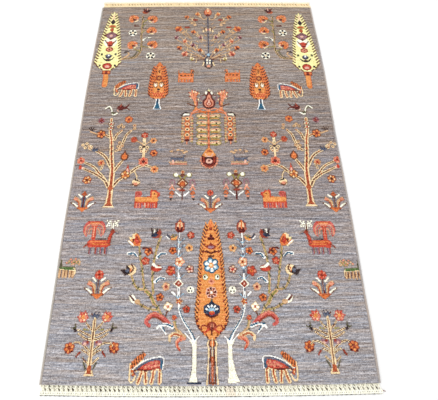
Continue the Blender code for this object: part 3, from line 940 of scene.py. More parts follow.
def olive_shrub(pen):
    """The flowering olive bush outside the white tree, in the left one's own places."""
    stems = (
        (5, (-238, -350), (-233, -390), (-222, -440), (-210, -500), (-190, -520)),
        (6, (-166, -330), (-173, -353), (-183, -400), (-187, -457), (-182, -515)),
        (5, (-256, -455), (-247, -480), (-232, -500), (-206, -505), (-190, -522)),
        (11, (-205, -508), (-190, -522), (-178, -545)),
        (5, (-232, -540), (-214, -552), (-190, -562), (-160, -566)),
        (5, (-178, -545), (-166, -556), (-160, -566)),
        (5, (-160, -566), (-150, -582), (-135, -600), (-110, -616), (-80, -640)),
    )
    for width, *points in stems:
        pen.draw(("tan", width + 1, *points), ("olive", 0.55 * width, *points))
        for x, y in points[1:-1]:
            pen.line("moss", 4, (x - 3, y - 5), (x + 3, y + 5))
    head = pen.at(-252, -342, 40)
    head.draw(
        ("cream", (-18, -12), (-23, 18), (-13, 11), (-10, 24), (-3, 14), (4, 22), (18, 20), (16, -10),
         (0, -24)),
        ("white", 4, (-18, 12), (-14, -6)), ("lemon", 4, (-8, 18), (-8, 2)),
        ("orange", 3, (-13, 12), (-11, -10)),
        ("orange", (-12, -14), (-8, 12), (2, 6), (10, 16), (20, 14), (16, -14), (0, -26)),
        ("red", (-6, -16), (-2, 4), (10, 8), (9, -14)), ("maroon", 5, (-10, 0), (-2, 6)),
        ("brick", 4, (8, -14), (12, 8)),
    )
    blue_bird(pen.at(-182, -320))
    rosette(pen.at(-205, -380, 20), 28, 5, "orange", "brown", "brick")
    rosette(pen.at(-213, -412), 27, 5, "red", "salmon", "brick")
    pen.line("maroon", [6, 4], (-224, -370), (-206, -370), (-190, -388))
    for x, y, turn in ((-256, -391, -20), (-160, -393, 20), (-162, -473, 15)):
        blade = pen.at(x, y, turn)
        blade.draw(
            ("white", [11, 6], (-16, -2), (0, 6), (15, 0)), ("blue", [6, 4], (-13, -2), (0, 5), (13, 0)),
        )
    cup = pen.at(-264, -442, 30)
    cup.draw(
        ("cream", 5, -2, 36, 34), ("dark", (-20, -8), (-24, 16), (-8, 8), (0, 20), (4, 4), (-4, -12)),
        ("brown", 5, (0, -10), (14, -2), (15, 12)), ("orange", 4, (2, -4), (9, 4)),
        ("slate", -6, 2, 12, 12),
    )
    pen.draw(
        ("brick", -176, -436, 38, 22), ("red", -176, -440, 28, 12),
        ("ivory", [9, 6], (-186, -423), (-174, -432), (-162, -433)),
        ("ivory", (-258, -524), (-246, -518), (-232, -534), (-240, -546), (-252, -540)),
        ("maroon", 6, (-253, -524), (-242, -536)), ("tan", -230, -540, 18, 16),
    )


def blue_bird(pen):
    """A dark flower like a bird with raised wings."""
    pen.draw(
        ("brick", (-12, -14), (12, -14), (18, 4), (12, 18), (4, 8), (-2, -4)),
        ("navy", (-18, -8), (-4, -12), (8, -4), (0, 6), (-14, 2)), ("dark", [7, 4], (-10, 0), (-17, 18)),
        ("dark", [6, 4], (0, 2), (4, 17)), ("ivory", 3.4, (-8, 4), (-6, 16)),
    )


def feather_leaves(pen):
    """Curled leaves below the olive bush, in the left one's own places."""
    pen.draw(
        ("rose", [18, 9], (-132, -605), (-154, -586), (-176, -578), (-194, -588), (-198, -602),
         (-188, -610)),
        ("brick", [7, 4], (-136, -607), (-158, -590), (-178, -584), (-190, -594)),
        ("salmon", [4, 3], (-148, -586), (-168, -574), (-188, -578), (-203, -592)),
        ("white", [11, 7], (-118, -614), (-136, -608), (-156, -610), (-164, -618)),
        ("blue", [5, 3], (-116, -613), (-138, -606), (-160, -607)),
        ("white", [9, 4], (-152, -614), (-144, -624), (-136, -634)),
        ("blue", 4, (-148, -614), (-141, -625)),
        ("sand", [12, 8], (-90, -640), (-108, -633), (-124, -641), (-124, -652)),
        ("rust", [5, 4], (-90, -640), (-108, -634), (-121, -641)),
        ("salmon", [13, 7], (-80, -645), (-98, -651), (-103, -662), (-95, -676)),
        ("red", [4, 3], (-90, -650), (-100, -658), (-100, -670), (-93, -679)),
        ("olive", 5, (-110, -600), (-106, -622)), ("tan", 5, (-114, -600), (-104, -622), (-78, -642)),
    )


def green_animal(pen):
    """The green-backed animal under a faint bush near each side."""
    for x in (-26, -14, -4, 8, 18):
        pen.draw(("tan", 7, (x, 27), (x, 4)), ("brown", 3, (x + 4, 22), (x + 5, 6)))
    pen.draw(
        ("sand", 4, (-28, 30), (20, 26)), ("green", 9, (-26, 34), (0, 31), (18, 31)),
        ("moss", [7, 5], (-24, 36), (-27, 58)), ("cream", 3, (18, 33), (23, 26), (23, 10)),
    )
    for x, y in (
        (-8, 50), (-2, 56), (4, 61), (8, 52), (14, 57), (20, 62), (24, 54), (30, 59), (35, 52), (16, 47),
        (26, 48), (33, 45), (10, 45),
    ):
        pen.dot("tan" if x % 4 else "salmon", x, y, 7, 6)
    for x, y in ((0, 51), (11, 49), (18, 53), (28, 52), (22, 45)):
        pen.line("olive", 3, (x - 3, y - 3), (x + 3, y + 3))


def small_tree(pen):
    """The little cream tree in each near corner."""
    bird(pen.at(0, 162), "slate", "navy")
    pen.line("brown", 3, (-12, 170), (-8, 166))
    limbs = (
        ((0, 104), (-20, 112), (-48, 124)), ((0, 95), (-22, 100), (-44, 113)),
        ((0, 120), (-16, 132), (-26, 146)), ((0, 60), (-16, 74), (-34, 86), (-52, 88), (-62, 80)),
        ((0, 50), (-14, 62), (-28, 68)), ((0, 28), (-12, 36), (-22, 46)),
    )
    for half in pen.mirrored():
        for points in limbs:
            limb(half, 6.5, 4.5, *points, heart="brown")
        half.draw(
            ("mauve", 19, 87, 24, 15), ("brick", 14, 90, 9, 7), ("pink", 21, 84, 10, 8),
            ("brick", [6, 4], (34, 62), (43, 50)), ("moss", [5, 3], (12, 20), (20, 36)),
            ("olive", 4, (16, 123), (30, 125)),
        )
        flower = half.at(37, 160, -35)
        rosette(flower, 30, 6, "salmon", "orange", "rose")
        for turn in (-50, 0, 50):
            flower.at(0, 0, turn).line("red", [4, 3], (0, 8), (0, 18))
        flower.dot("gold", 0, 0, 12, 12)
        half.draw(
            ("dark", [9, 5], (54, 122), (60, 130)), ("moss", [4, 2.5], (56, 130), (58, 142)),
            ("moss", [4, 2.5], (60, 128), (70, 130)),
        )
        head = half.at(67, 74)
        rosette(head, 30, 6, "orange", "brown", "brick")
        head.dot("brick", 0, 0, 9, 9)
        half.draw(("maroon", 58, 64, 7), ("maroon", 75, 62, 7))
    limb(pen, 13, 7, (0, 6), (0, 60), (0, 140), (0, 156), heart="tan")
    pen.draw(
        ("brown", 2.6, (0, 20), (0, 150)), ("cream", (-15, 0), (-9, 14), (9, 14), (15, 0)),
        ("rust", (-7, 5), (-5, 26), (5, 26), (7, 5)), ("brick", 3, (-7, 6), (7, 6)),
    )


def tall_cypress(pen):
    """The tall orange cypress in the middle of the near half."""
    outline = (
        (503, 2), (480, 13), (448, 20), (420, 26), (391, 31), (362, 34), (305, 38), (248, 41), (190, 48),
        (165, 47), (148, 38), (133, 22), (122, 10),
    )
    serrated(pen, outline, "gold", 12, 4, "maroon", 1.5)
    edge_heights = (122, 165, 248, 362, 448, 503)
    for y in range(140, 500, 13):
        half_width = np.interp(y, edge_heights, (6, 44, 37, 30, 16, 0))
        pen.line("amber", 2.6, (-half_width, y), (half_width, y))
        for x in (-half_width, half_width):
            pen.dot("brick" if y % 2 else "orange", x, y, 6, 7)
    pen.draw(
        ("orange", 0, 484, 14, 26), ("brick", 0, 468, 12, 9), ("maroon", 0, 434, 26, 13),
        ("maroon", 0, 442, 10, 16), ("brick", [(0, 422), (8, 412), (21, 408), (10, 398)]),
        ("mauve", 0, 405, 20, 10), ("maroon", 5, (-14, 392), (0, 384), (14, 392)),
        ("brown", 0, 374, 22, 9),
    )
    rosette(pen.at(0, 344), 50, 6, "sky", "gold", "blue")
    for turn in range(9, 369, 60):
        pen.at(0, 344, turn).dot("white", 0, 13, 9, 11)
    pen.draw(("cream", 0, 344, 9), ("salmon", [(0, 304), (12, 292), (0, 280)]), ("brick", 0, 293, 8, 7))
    rosette(pen.at(0, 258), 36, 8, "maroon", "gold", "pink")
    pen.draw(("white", 0, 258, 9), ("moss", 0, 234, 7, 12))
    palmette(pen.at(0, 204))
    pen.draw(("brick", 0, 158, 32, 28), ("salmon", 0, 160, 14, 12), ("maroon", 4, (0, 186), (0, 134)))
    pen.both(
        ("olive", 19, 306, 19, 20), ("ivory", 19, 306, 14, 15), ("dark", 21, 307, 6, 9),
        ("maroon", 4, (9, 386), (26, 392)), ("brick", [6, 3], (12, 156), (26, 162), (36, 152)),
        ("red", [6, 3], (10, 150), (20, 142), (30, 146)), ("maroon", 41, 160, 9, 7),
        ("cream", 4, (10, 118), (14, 108), (10, 96)), ("cream", 4, (11, 98), (12, 60), (16, 2)),
        ("brown", 4, (6, 94), (7, 50), (9, 4)),
    )
    pen.draw(
        ("brown", 0, 110, 22, 26), ("orange", 0, 110, 14, 18), ("sand", 3, (0, 124), (0, 60)),
        ("rust", [7, 9], (0, 72), (0, 6)),
    )
    for y in range(8, 70, 12):
        pen.dot("salmon", 0, y, 4, 6)
    pen.line("brown", 5, (-8, 5), (8, 5))


def palmette(pen):
    """A dark palmette with five pale leaves."""
    pen.fill("navy", [(0, 30), (12, 20), (25, 14), (26, -4), (12, -18)])
    for turn in (-62, -32, 0, 32, 62):
        leaf(pen.at(0, -4, turn), 23, 6, "sky")
        pen.at(0, -4, turn).dot("white", 0, 18, 6, 9)
    pen.draw(("red", 0, -7, 19, 12), ("gold", 0, -4, 9, 7), ("maroon", 5, (-18, -12), (0, -20), (18, -12)))


# A figure, its left and right x, the height of its foot and how much lower the right copy sits
TWINS = (
    (pale_cypress, -431, 424, 307, 7), (green_shrub, -295, 299, 462, 0), (goat, -333, 335, 255, 6),
    (orange_cypress, -206, 214, 193, 3), (small_beast, -92, 103, 327, -3), (big_tree, 0, 4.5, 0, -3),
    (faint_animal, -115, 117, -50, 0), (bouquet, -97, 99, -200, -3), (dog, -222, 231, -228, 0),
    (vase, -447, 446, -240, 3), (deer, -371, 370, -390, 3), (white_tree, 0, 8, 0, 1),
    (olive_shrub, 0, 6, 0, 0), (feather_leaves, 0, 8, 0, -2), (green_animal, -464, 463, -467, 7),
    (small_tree, -358, 364, -745, -2), (goat, -185, 199, -770, -2), (hanging_spray, 0, 2, 1, 0),
)


def draw_all(cloth):
    """Every figure in its place; the right copies are mirrored and sit a little off, as in knotted cloth."""
    sheet = Pen(cloth, *SHEET_SHIFT)
    for figure, left, right, height, drop in TWINS:
        figure(sheet.at(left, height))
        figure(sheet.at(right, height - drop).mirror())
    for place, top in (
        (sheet.at(-360, -532), 27), (sheet.at(364, -535).mirror(), 27), (sheet.at(4, -245), 21),
    ):
        vase(place, top)
    # The white trees' own feet: a dark line under the left one and a wider flare on the right one
    sheet.draw(
        ("navy", 4, (-68, -765), (-30, -765)),
        ("ivory", (52, -690), (50, -763), (85, -763), (73, -740), (65, -705)),
    )
    top_tree(sheet.at(3, 410))
    leafy_stem(sheet.at(1, 0))
    tall_cypress(sheet.at(4, -771))


# Dyes

def linear(rgb):
    """Display colour of 0 to 255 to scene-linear."""
    share = np.asarray(rgb, float) / 255
    return np.where(share <= 0.04045, share / 12.92, ((share + 0.055) / 1.055) ** 2.4)


def streaks(rng, thick, long):
    """Noise in rows: each band its own, changing along the row; thick and long are in knots."""
    coarse = rng.normal(size=(ROWS // thick + 1, int(COLUMNS / long) + 3))
    at = np.arange(COLUMNS) / long
    lines = [np.interp(at + rng.uniform(0, 1), np.arange(len(line)), line) for line in coarse]
    return np.repeat(lines, thick, 0)[:ROWS]


def streak_sum(rng, kinds):
    """Streaks of several kinds, each with its strength."""
    return sum(strength * streaks(rng, thick, long) for strength, thick, long in kinds)


def ground_dye(rng):
    """The banded grey of the ground, browner at the far end and bluer at the near one."""
    height = np.linspace(0, 1, ROWS)
    base = np.array([np.interp(height, GROUND_HEIGHTS, tone) for tone in np.array(GROUND_TONES, float).T]).T
    light = streak_sum(rng, GROUND_STREAKS)
    light -= CRISPNESS * np.mean([np.roll(light, shift, 0) for shift in BLUR_ROWS], 0)
    light += rng.normal(0, KNOT_SPREAD, light.shape)
    warm = streak_sum(rng, WARM_STREAKS)
    return base[:, None] + light[..., None] + warm[..., None] * np.array(WARM_SHIFT)


def beside_figures(ink):
    """Ground knots that touch a figure."""
    figure = np.pad(ink > 0, 1)
    near = figure[:-2, 1:-1] | figure[2:, 1:-1] | figure[1:-1, :-2] | figure[1:-1, 2:]
    return near & (ink == 0)


def dyed(cloth, rng):
    """Linear colour of every knot."""
    table = np.array([PALETTE[name] for name in INKS], float)
    figures = table[cloth.ink]
    figures += (streak_sum(rng, (FIGURE_STREAK,)) + rng.normal(0, KNOT_SPREAD, cloth.ink.shape))[..., None]
    plain = ground_dye(rng)
    plain[beside_figures(cloth.ink)] -= RIM_SHADE
    colour = np.where((cloth.ink == 0)[..., None], plain, figures)
    return linear(np.clip(colour, DARKEST, 255))


# Meshes

def mesh_piece(name, verts, faces, material, slot, replaced, dye, places):
    """A piece from arrays; dye is a colour and places a map position for each face corner."""
    mesh = bpy.data.meshes.new(name)
    mesh.from_pydata([tuple(v) for v in verts], [], faces)
    layer = mesh.color_attributes.new("dye", "FLOAT_COLOR", "CORNER")
    layer.data.foreach_set("color", np.column_stack((dye, np.ones(len(dye)))).astype(np.float32).ravel())
    uv = mesh.uv_layers.new(name="OFBake")
    uv.data.foreach_set("uv", np.asarray(places, np.float32).ravel())
    mesh.materials.append(material)
    piece = bpy.data.objects.new(name, mesh)
    bpy.context.collection.objects.link(piece)
    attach(piece, "root")
    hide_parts(*replaced)
    return piece


class Outline:
    """The pile's sides and ends, measured on the CAD part."""

    def __init__(self, field):
        points = np.array([v.co for v in field.data.vertices])
        foot = points[points[:, 2] < FOOT_HEIGHT]
        half, near, far = abs(foot[:, 0]).max(), foot[:, 1].min(), foot[:, 1].max()
        self.left = foot[foot[:, 0] < -SIDE_SHARE * half]
        self.right = foot[foot[:, 0] > SIDE_SHARE * half]
        self.near = foot[foot[:, 1] < near + END_DEPTH]
        self.far = foot[foot[:, 1] > far - END_DEPTH]

    def place(self, across, along):
        """Frame x and y at shares across (left to right) and along (near to far)."""
        x = END_REACH * (2 * across - 1)
        near, far = (line_at(end, x, 0) for end in (self.near, self.far))
        y = near + (far - near) * along
        left, right = (line_at(side, y, 1) for side in (self.left, self.right))
        return left + (right - left) * across, y

    def share(self, x, y):
        """Shares across and along at millimetres from the carpet's middle."""
        x, y = x / 1000 + CARPET_MIDDLE.x, y / 1000 + CARPET_MIDDLE.y
        left, right = (line_at(side, y, 1) for side in (self.left, self.right))
        near, far = (line_at(end, x, 0) for end in (self.near, self.far))
        return (x - left) / (right - left), (y - near) / (far - near)


def line_at(points, at, axis):
    """The other coordinate of an edge where its own one is at."""
    order = np.argsort(points[:, axis])
    return np.interp(at, points[order, axis], points[order, 1 - axis])


def on_map(share):
    """Where a share along a slab's side comes on the map, inside the rim left for its walls."""
    return FACE_RIM + (1 - 2 * FACE_RIM) * share


def slab(name, grid, level, colours, **rest):
    """A closed slab: grid is its worked face, one colour a cell, and level the height of its plain one."""
    rows, columns = grid.shape[0] - 1, grid.shape[1] - 1
    way = 1 if grid[..., 2].mean() > level else -1
    index = np.arange(grid[..., 0].size).reshape(rows + 1, columns + 1)
    quads = np.stack((index[:-1, :-1], index[:-1, 1:], index[1:, 1:], index[1:, :-1]), -1)
    quads = quads.reshape(-1, 4)[:, ::way]
    u, v = np.meshgrid(on_map(np.linspace(0, 1, columns + 1)), on_map(np.linspace(0, 1, rows + 1)))
    rim = np.concatenate((index[0], index[1:, -1], index[-1, -2::-1], index[-2:0:-1, 0]))
    flat = grid.reshape(-1, 3)[rim].copy()
    flat[:, 2] = level
    low = {point: index.size + i for i, point in enumerate(rim)}
    faces = quads.tolist()
    dyes = [np.repeat(colours.reshape(-1, 3), 4, 0)]
    places = [np.stack((u, v), -1).reshape(-1, 2)[quads].reshape(-1, 2)]

    def add_face(corners, tone, spots):
        """One more face, turned to look outwards."""
        faces.append(corners[::way])
        dyes.append(np.repeat(tone[None], len(corners), 0))
        places.append(np.array(spots)[::way])

    def wall(top, tones, begin, step, drop):
        """Faces from an edge of the worked face down to the plain one; the last three are on the map."""
        begin, step, drop = np.array((begin, step, drop))
        for i, (a, b) in enumerate(zip(top, top[1:])):
            here, there = begin + i * step, begin + (i + 1) * step
            add_face([a, b, low[b], low[a]], tones[i], (here, there, there + drop, here + drop))

    across, along = (1 - 2 * FACE_RIM) / columns, (1 - 2 * FACE_RIM) / rows
    wall(index[0][::-1], colours[0][::-1], (1 - FACE_RIM, WALL_RIM), (-across, 0), (0, -WALL_DEPTH))
    wall(index[-1], colours[-1], (FACE_RIM, 1 - WALL_RIM), (across, 0), (0, WALL_DEPTH))
    wall(index[:, 0], colours[:, 0], (WALL_RIM, FACE_RIM), (0, along), (-NARROW_WALL_DEPTH, 0))
    wall(index[::-1, -1], colours[::-1, -1], (1 - WALL_RIM, 1 - FACE_RIM), (0, -along), (WALL_DEPTH, 0))
    for row in range(rows):
        first = [low[p] for p in (index[0] if row == 0 else index[row, [0, -1]])]
        last = [low[p] for p in (index[-1] if row == rows - 1 else index[row + 1, [0, -1]])]
        spots = [(x, on_map((row + 1) / rows)) for x in np.linspace(*PLAIN_FACE_MAP, len(last))]
        spots += [(x, on_map(row / rows)) for x in np.linspace(*PLAIN_FACE_MAP[::-1], len(first))]
        add_face(last + first[::-1], colours[row].mean(0), spots)
    verts = np.vstack((grid.reshape(-1, 3), flat))
    return mesh_piece(name, verts, faces, dye=np.vstack(dyes), places=np.vstack(places), **rest)


def field_grid(outline, columns, rows, rng, jitter):
    """Corner points of a grid of cells over the field, in the part's frame, at height 0."""
    across, along = np.meshgrid(np.linspace(0, 1, columns + 1), np.linspace(0, 1, rows + 1))
    x, y = outline.place(across, along)
    inner = np.zeros(x.shape, bool)
    inner[1:-1, 1:-1] = True
    x = x + inner * rng.uniform(-jitter, jitter, x.shape)
    y = y + inner * rng.uniform(-jitter, jitter, x.shape)
    return np.stack((x, y, np.zeros(x.shape)), -1)


def pile(outline, colours, rng, material):
    """The cut pile in lengthwise strips, each knot a facet of its own dye."""
    grid = field_grid(outline, COLUMNS, ROWS, rng, KNOT_JITTER)
    column, row = np.meshgrid(np.arange(COLUMNS + 1), np.arange(ROWS + 1))
    inwards = np.minimum.reduce((column, COLUMNS - column, row, ROWS - row))
    rounding = PILE_ROUNDING * np.clip(1 - inwards / ROUNDED_KNOTS, 0, 1) ** 2
    grid[..., 2] = PILE_TOP - rounding - rng.uniform(0, PILE_UNEVEN, column.shape)
    strips = []
    for i, name in enumerate(STRIPS):
        cut = slice(i * COLUMNS // len(STRIPS), (i + 1) * COLUMNS // len(STRIPS) + 1)
        strip = slab(
            name, grid[:, cut], BACK_TOP, colours[:, cut.start:cut.stop - 1], material=material,
            slot="pile_wool", replaced=("pile_field",),
        )
        strips.append(strip)
    return strips


def carpet_back(outline, colours, rng, material):
    """The woven back, where the figures show paler, each cell standing for two by two knots."""
    rows, columns = ROWS // 2, COLUMNS // 2
    tones = colours.reshape(rows, 2, columns, 2, 3).mean((1, 3))
    tones = (1 - WEFT_SHARE) * tones + WEFT_SHARE * linear(BACK_WEFT)
    grid = field_grid(outline, columns, rows, rng, BACK_JITTER)
    ridges = BACK_RIDGE * (np.arange(rows + 1) % 2)[:, None]
    grid[..., 2] = ridges + rng.uniform(0, BACK_UNEVEN, grid.shape[:2])
    return slab(
        "carpet_back", grid, BACK_TOP, tones, material=material, slot="pile_wool", replaced=("pile_field",),
    )


# Yarns

def tubes(name, paths, radii, tints, sides=8, flatten=1.0, **rest):
    """Closed tubes along paths (tube, step, xyz), with a radius and a colour at each step of each tube."""
    paths, count, steps = np.asarray(paths), len(paths), len(paths[0])
    run = np.gradient(paths, axis=1)
    run /= np.linalg.norm(run, axis=2, keepdims=True)
    side = np.cross(run, (0, 0, 1))
    side /= np.linalg.norm(side, axis=2, keepdims=True)
    up = np.cross(side, run)
    turn = np.arange(sides) * 2 * np.pi / sides
    ring = np.cos(turn)[:, None] * side[:, :, None] + flatten * np.sin(turn)[:, None] * up[:, :, None]
    verts = (paths[:, :, None] + np.asarray(radii)[..., None, None] * ring).reshape(-1, 3)
    tube, step, slot = np.meshgrid(np.arange(count), np.arange(steps - 1), np.arange(sides), indexing="ij")
    cells = math.ceil(math.sqrt(count))
    origin = np.stack((tube % cells, tube // cells), -1).reshape(-1, 2)

    def corner(d, s):
        """A quad's corner d steps on and s slots round, for every quad."""
        return ((tube * steps + step + d) * sides + (slot + s) % sides).ravel()

    def map_at(d, s):
        """The same corner's place on the map, where each tube has a square cell."""
        share = np.stack(((slot + s) / sides, (step + d) / (steps - 1)), -1).reshape(-1, 2)
        return (origin + TUBE_CORNER + share * TUBE_SPAN) / cells

    corners = ((1, 0), (1, 1), (0, 1), (0, 0))
    faces = np.stack([corner(*at) for at in corners], -1).tolist()
    places = np.stack([map_at(*at) for at in corners], 1).reshape(-1, 2)
    dye = np.repeat(np.asarray(tints)[:, :-1].reshape(-1, 3), sides * 4, 0)
    first = (np.arange(count) * steps * sides)[:, None] + np.arange(sides)
    faces += first.tolist() + (first + (steps - 1) * sides)[:, ::-1].tolist()
    spot = CAP_SPOT * np.stack((np.cos(turn), np.sin(turn)), -1)
    home = np.stack((np.arange(count) % cells, np.arange(count) // cells), -1)[:, None]
    caps = [
        ((home + spot[::way] + (x, CAP_HEIGHT)) / cells).reshape(-1, 2)
        for way, x in zip((1, -1), CAP_PLACES)
    ]
    cap_dye = [np.repeat(np.asarray(tints)[:, end], sides, 0) for end in (0, -1)]
    dye, places = np.vstack((dye, *cap_dye)), np.vstack((places, *caps))
    return mesh_piece(name, verts, faces, dye=dye, places=places, **rest)


def side_cord(name, node, tone, rng, material):
    """The overcast cord along one side: a thick cord with a groove between its turns."""
    points = np.array([v.co for v in node.data.vertices])
    spots = np.unique(points[:, 1].round(4))
    spots = spots[np.insert(np.diff(spots) > SPOT_GAP, 0, True)]
    beside = [points[abs(points[:, 1] - y) < SPOT_REACH, 0] for y in spots]
    lows, highs = np.array([(x.min(), x.max()) for x in beside]).T
    rings = int((spots[-1] - spots[0]) / WRAP_PITCH) * RINGS_A_TURN
    y = np.linspace(spots[0], spots[-1], rings + 1)
    middle = np.interp(y, spots, (lows + highs) / 2)
    half = np.interp(y, spots, (highs - lows) / 2)
    wander = np.interp(y, spots, rng.normal(0, CORD_WANDER, len(spots)))
    step = np.arange(rings + 1)
    groove = np.array(TURN_PROFILE)[step % RINGS_A_TURN]
    turns = rings // RINGS_A_TURN + 2
    plump = np.interp(step / RINGS_A_TURN, np.arange(turns), rng.normal(1, TURN_SPREAD, turns))
    path = np.stack((middle + wander, y, np.full(len(y), CORD_HEIGHT / 2 + CORD_LIFT)), -1)[None]
    turn_tone = 1 + rng.normal(0, TURN_TONE_SPREAD, turns)[step // RINGS_A_TURN]
    shade = np.where(step % RINGS_A_TURN == 0, GROOVE_SHADE, 1.0)
    tint = linear(tone)[None] * turn_tone[:, None] * shade[:, None]
    blend = streak_along(rng, rings + 1, EDGE_TONE_RUN)[:, None]
    tint = tint + blend * (linear(CORD_EDGE) - linear(tone))
    radii = (half * groove * plump)[None] * CORD_WIDTH_SHARE
    return tubes(
        name, path, radii, tint[None], sides=CORD_SIDES, flatten=CORD_HEIGHT / 2 / half.mean(),
        material=material, slot="side_wool", replaced=(name.replace("cord", "selvedge"),),
    )


def streak_along(rng, count, long):
    """Values from 0 to 1 that change slowly along a line."""
    knots = rng.uniform(0, 1, int(count / long) + 3)
    return np.interp(np.arange(count) / long, np.arange(len(knots)), knots)


def yarn_tints(x, outs, rng, band):
    """Yarn colours by the distance from the pile, uneven from yarn to yarn and browner over the stains."""
    stops, tones = zip(*band["tones"])
    tones = linear(tones)
    tints = np.stack([np.interp(outs, stops, tones[:, channel]) for channel in range(3)], -1)
    tints *= 1 + rng.normal(0, YARN_TONE_SPREAD, (len(x), 1, 1))
    for low, high, stain in band["stains"]:
        share = np.clip(STAIN_STRENGTH * (1 - abs(2 * x - low - high) / (high - low)), 0, 1)[:, None, None]
        tints += share * (linear(stain) - tints)
    return tints


def warp_end(name, node, outline_end, side, band, rng, material):
    """The knotted warps at one end: leaning strands of yarn, twined rows, dark tubes painted as the shade in
    the gaps and, at the near end, a dark tube painted as the braid's shadow on the floor, all tubes.
    """
    first, last, count = band["first"], band["last"], band["strands"]
    pitch = (last - first) / count
    middle = first + pitch * (np.arange(count) + 0.5)
    run = np.linspace(0, 1, YARN_STEPS)

    def at(x, out, z):
        """Places at x, so far out from the pile's edge and at height z."""
        foot = line_at(outline_end, np.clip(x, -YARN_REACH, YARN_REACH), 0)
        return np.stack(np.broadcast_arrays(x, foot + side * out, z), -1)

    paths, radii, tints = [], [], []
    profile = np.array(band["profile"]).T / 1000
    out = profile[0, 0] + run * (profile[0, -1] - profile[0, 0])
    lean, spread, thick, height = [np.interp(out, profile[0], row) for row in profile[1:]]
    for ply in range(band["plies"]):
        phase = 2 * np.pi * ply / band["plies"] + rng.uniform(-PLY_UNEVEN, PLY_UNEVEN, count)[:, None]
        swirl = phase + 2 * np.pi * band["turns"] * run
        x = middle[:, None] + lean + spread * np.cos(swirl) + rng.normal(0, SIDE_WANDER, (count, 1))
        paths.append(at(x, out, height + PLY_RISE * np.sin(swirl)))
        radii.append(np.repeat(thick[None], count, 0))
        tints.append(yarn_tints(middle, np.repeat(out[None], count, 0), rng, band))
    run_width = (last - first) / TWINE_RUNS
    for row_out, row_height, radius in band["twined_rows"]:
        starts = np.linspace(first, last, TWINE_RUNS + 1)[:-1, None]
        x = starts + run_width * ((1 + 2 * TWINE_OVERLAP) * run - TWINE_OVERLAP)
        for half_turn in (0, np.pi):
            angle = half_turn + 2 * np.pi * (x - first) / pitch
            paths.append(at(x, row_out + PLY_RISE * np.cos(angle), row_height + PLY_RISE * np.sin(angle)))
            radii.append(np.full(x.shape, radius))
            tints.append(yarn_tints(starts[:, 0] + run_width / 2, np.full(x.shape, row_out), rng, band))
    # Painted shade: dark tubes laid between strands, standing for the shade in the gaps and grooves
    for near, far, slant, mark_height, radius, tone in band["painted_shade_marks"]:
        x = middle[:, None] + pitch / 2 + slant * (run - 0.5) + rng.normal(0, MARK_WANDER, (count, 1))
        paths.append(at(x, near + (far - near) * run, mark_height)[:-1])
        bulge = np.sin(np.pi * (MARK_TAPER + (1 - 2 * MARK_TAPER) * run))
        radii.append((radius * bulge * rng.uniform(*MARK_THICKNESS, (count, 1)))[:-1])
        pale = rng.uniform(0, MARK_PALENESS, (count, 1, 1)) ** 2 * linear(band["tones"][0][1])
        tints.append(np.broadcast_to(linear(tone) + pale, (count, YARN_STEPS, 3))[:-1])
    # Painted shadow: a dark tube lying on the floor along the outer edge, standing for the braid's cast
    # shadow, paler in some runs
    if band["painted_shadow_line"]:
        shadow_line_out, radius, tone = band["painted_shadow_line"]
        edges = np.linspace(first, last, SHADOW_LINE_RUNS + 1)
        x = edges[:-1, None] + (edges[1] - edges[0]) * run
        wave = SHADOW_LINE_WAVE * np.sin(2 * np.pi * (x - first) / pitch)
        wave = wave + rng.normal(0, SIDE_WANDER, (SHADOW_LINE_RUNS, 1))
        paths.append(at(x, shadow_line_out + wave, radius))
        radii.append(np.full(x.shape, radius))
        pale = rng.uniform(0, SHADOW_LINE_PALENESS, (SHADOW_LINE_RUNS, 1, 1)) ** 2 * linear(band["tones"][0][1])
        tints.append(np.broadcast_to(linear(tone) + pale, (*x.shape, 3)))
    if band["loose_end"]:
        *places, radius, tone = band["loose_end"]
        x, thread_out = (np.interp(run, (0, 0.5, 1), row) for row in zip(*places))
        paths.append(at(x, thread_out, radius + LOOSE_LIFT)[None])
        radii.append((radius * (1 - LOOSE_TAPER * run))[None])
        tints.append(np.broadcast_to(linear(tone), (1, YARN_STEPS, 3)))
    paths, radii, tints = [np.concatenate(part) for part in (paths, radii, tints)]
    return tubes(
        name, paths, radii, np.clip(tints, 0, 1), material=material, slot="warp_cotton", replaced=(node,),
    )


# Materials

def nodes_of(name):
    """A new material with its node tree and shader."""
    material = bpy.data.materials.new(name)
    material.use_nodes = True
    tree = material.node_tree
    return material, tree, tree.nodes["Principled BSDF"]


def add(tree, kind, **inputs):
    """A node with some inputs set; an underscore stands for a space in an input's name."""
    node = tree.nodes.new(kind)
    for key, value in inputs.items():
        node.inputs[key.replace("_", " ")].default_value = value
    return node


def noise(tree, scale, detail=2.0, stretch=(1, 1, 1)):
    """Noise in the part's own metres."""
    place = tree.nodes.new("ShaderNodeTexCoord")
    mapping = add(tree, "ShaderNodeMapping", Scale=stretch)
    texture = add(tree, "ShaderNodeTexNoise", Scale=scale, Detail=detail)
    tree.links.new(place.outputs["Object"], mapping.inputs["Vector"])
    tree.links.new(mapping.outputs["Vector"], texture.inputs["Vector"])
    return texture.outputs["Fac"]


def tinted(tree, factor, low, high):
    """The dye of the mesh made darker or paler by the factor."""
    dye = tree.nodes.new("ShaderNodeAttribute")
    dye.attribute_name = "dye"
    shade = add(tree, "ShaderNodeMapRange", From_Min=0.3, From_Max=0.7, To_Min=low, To_Max=high)
    scaled = tree.nodes.new("ShaderNodeVectorMath")
    scaled.operation = "SCALE"
    tree.links.new(factor, shade.inputs["Value"])
    tree.links.new(dye.outputs["Color"], scaled.inputs[0])
    tree.links.new(shade.outputs["Result"], scaled.inputs["Scale"])
    return scaled.outputs["Vector"]


def bumped(tree, shader, height, distance, strength=1.0):
    """Fine relief on the shader from a height."""
    bump = add(tree, "ShaderNodeBump", Distance=distance, Strength=strength)
    tree.links.new(height, bump.inputs["Height"])
    tree.links.new(bump.outputs["Normal"], shader.inputs["Normal"])


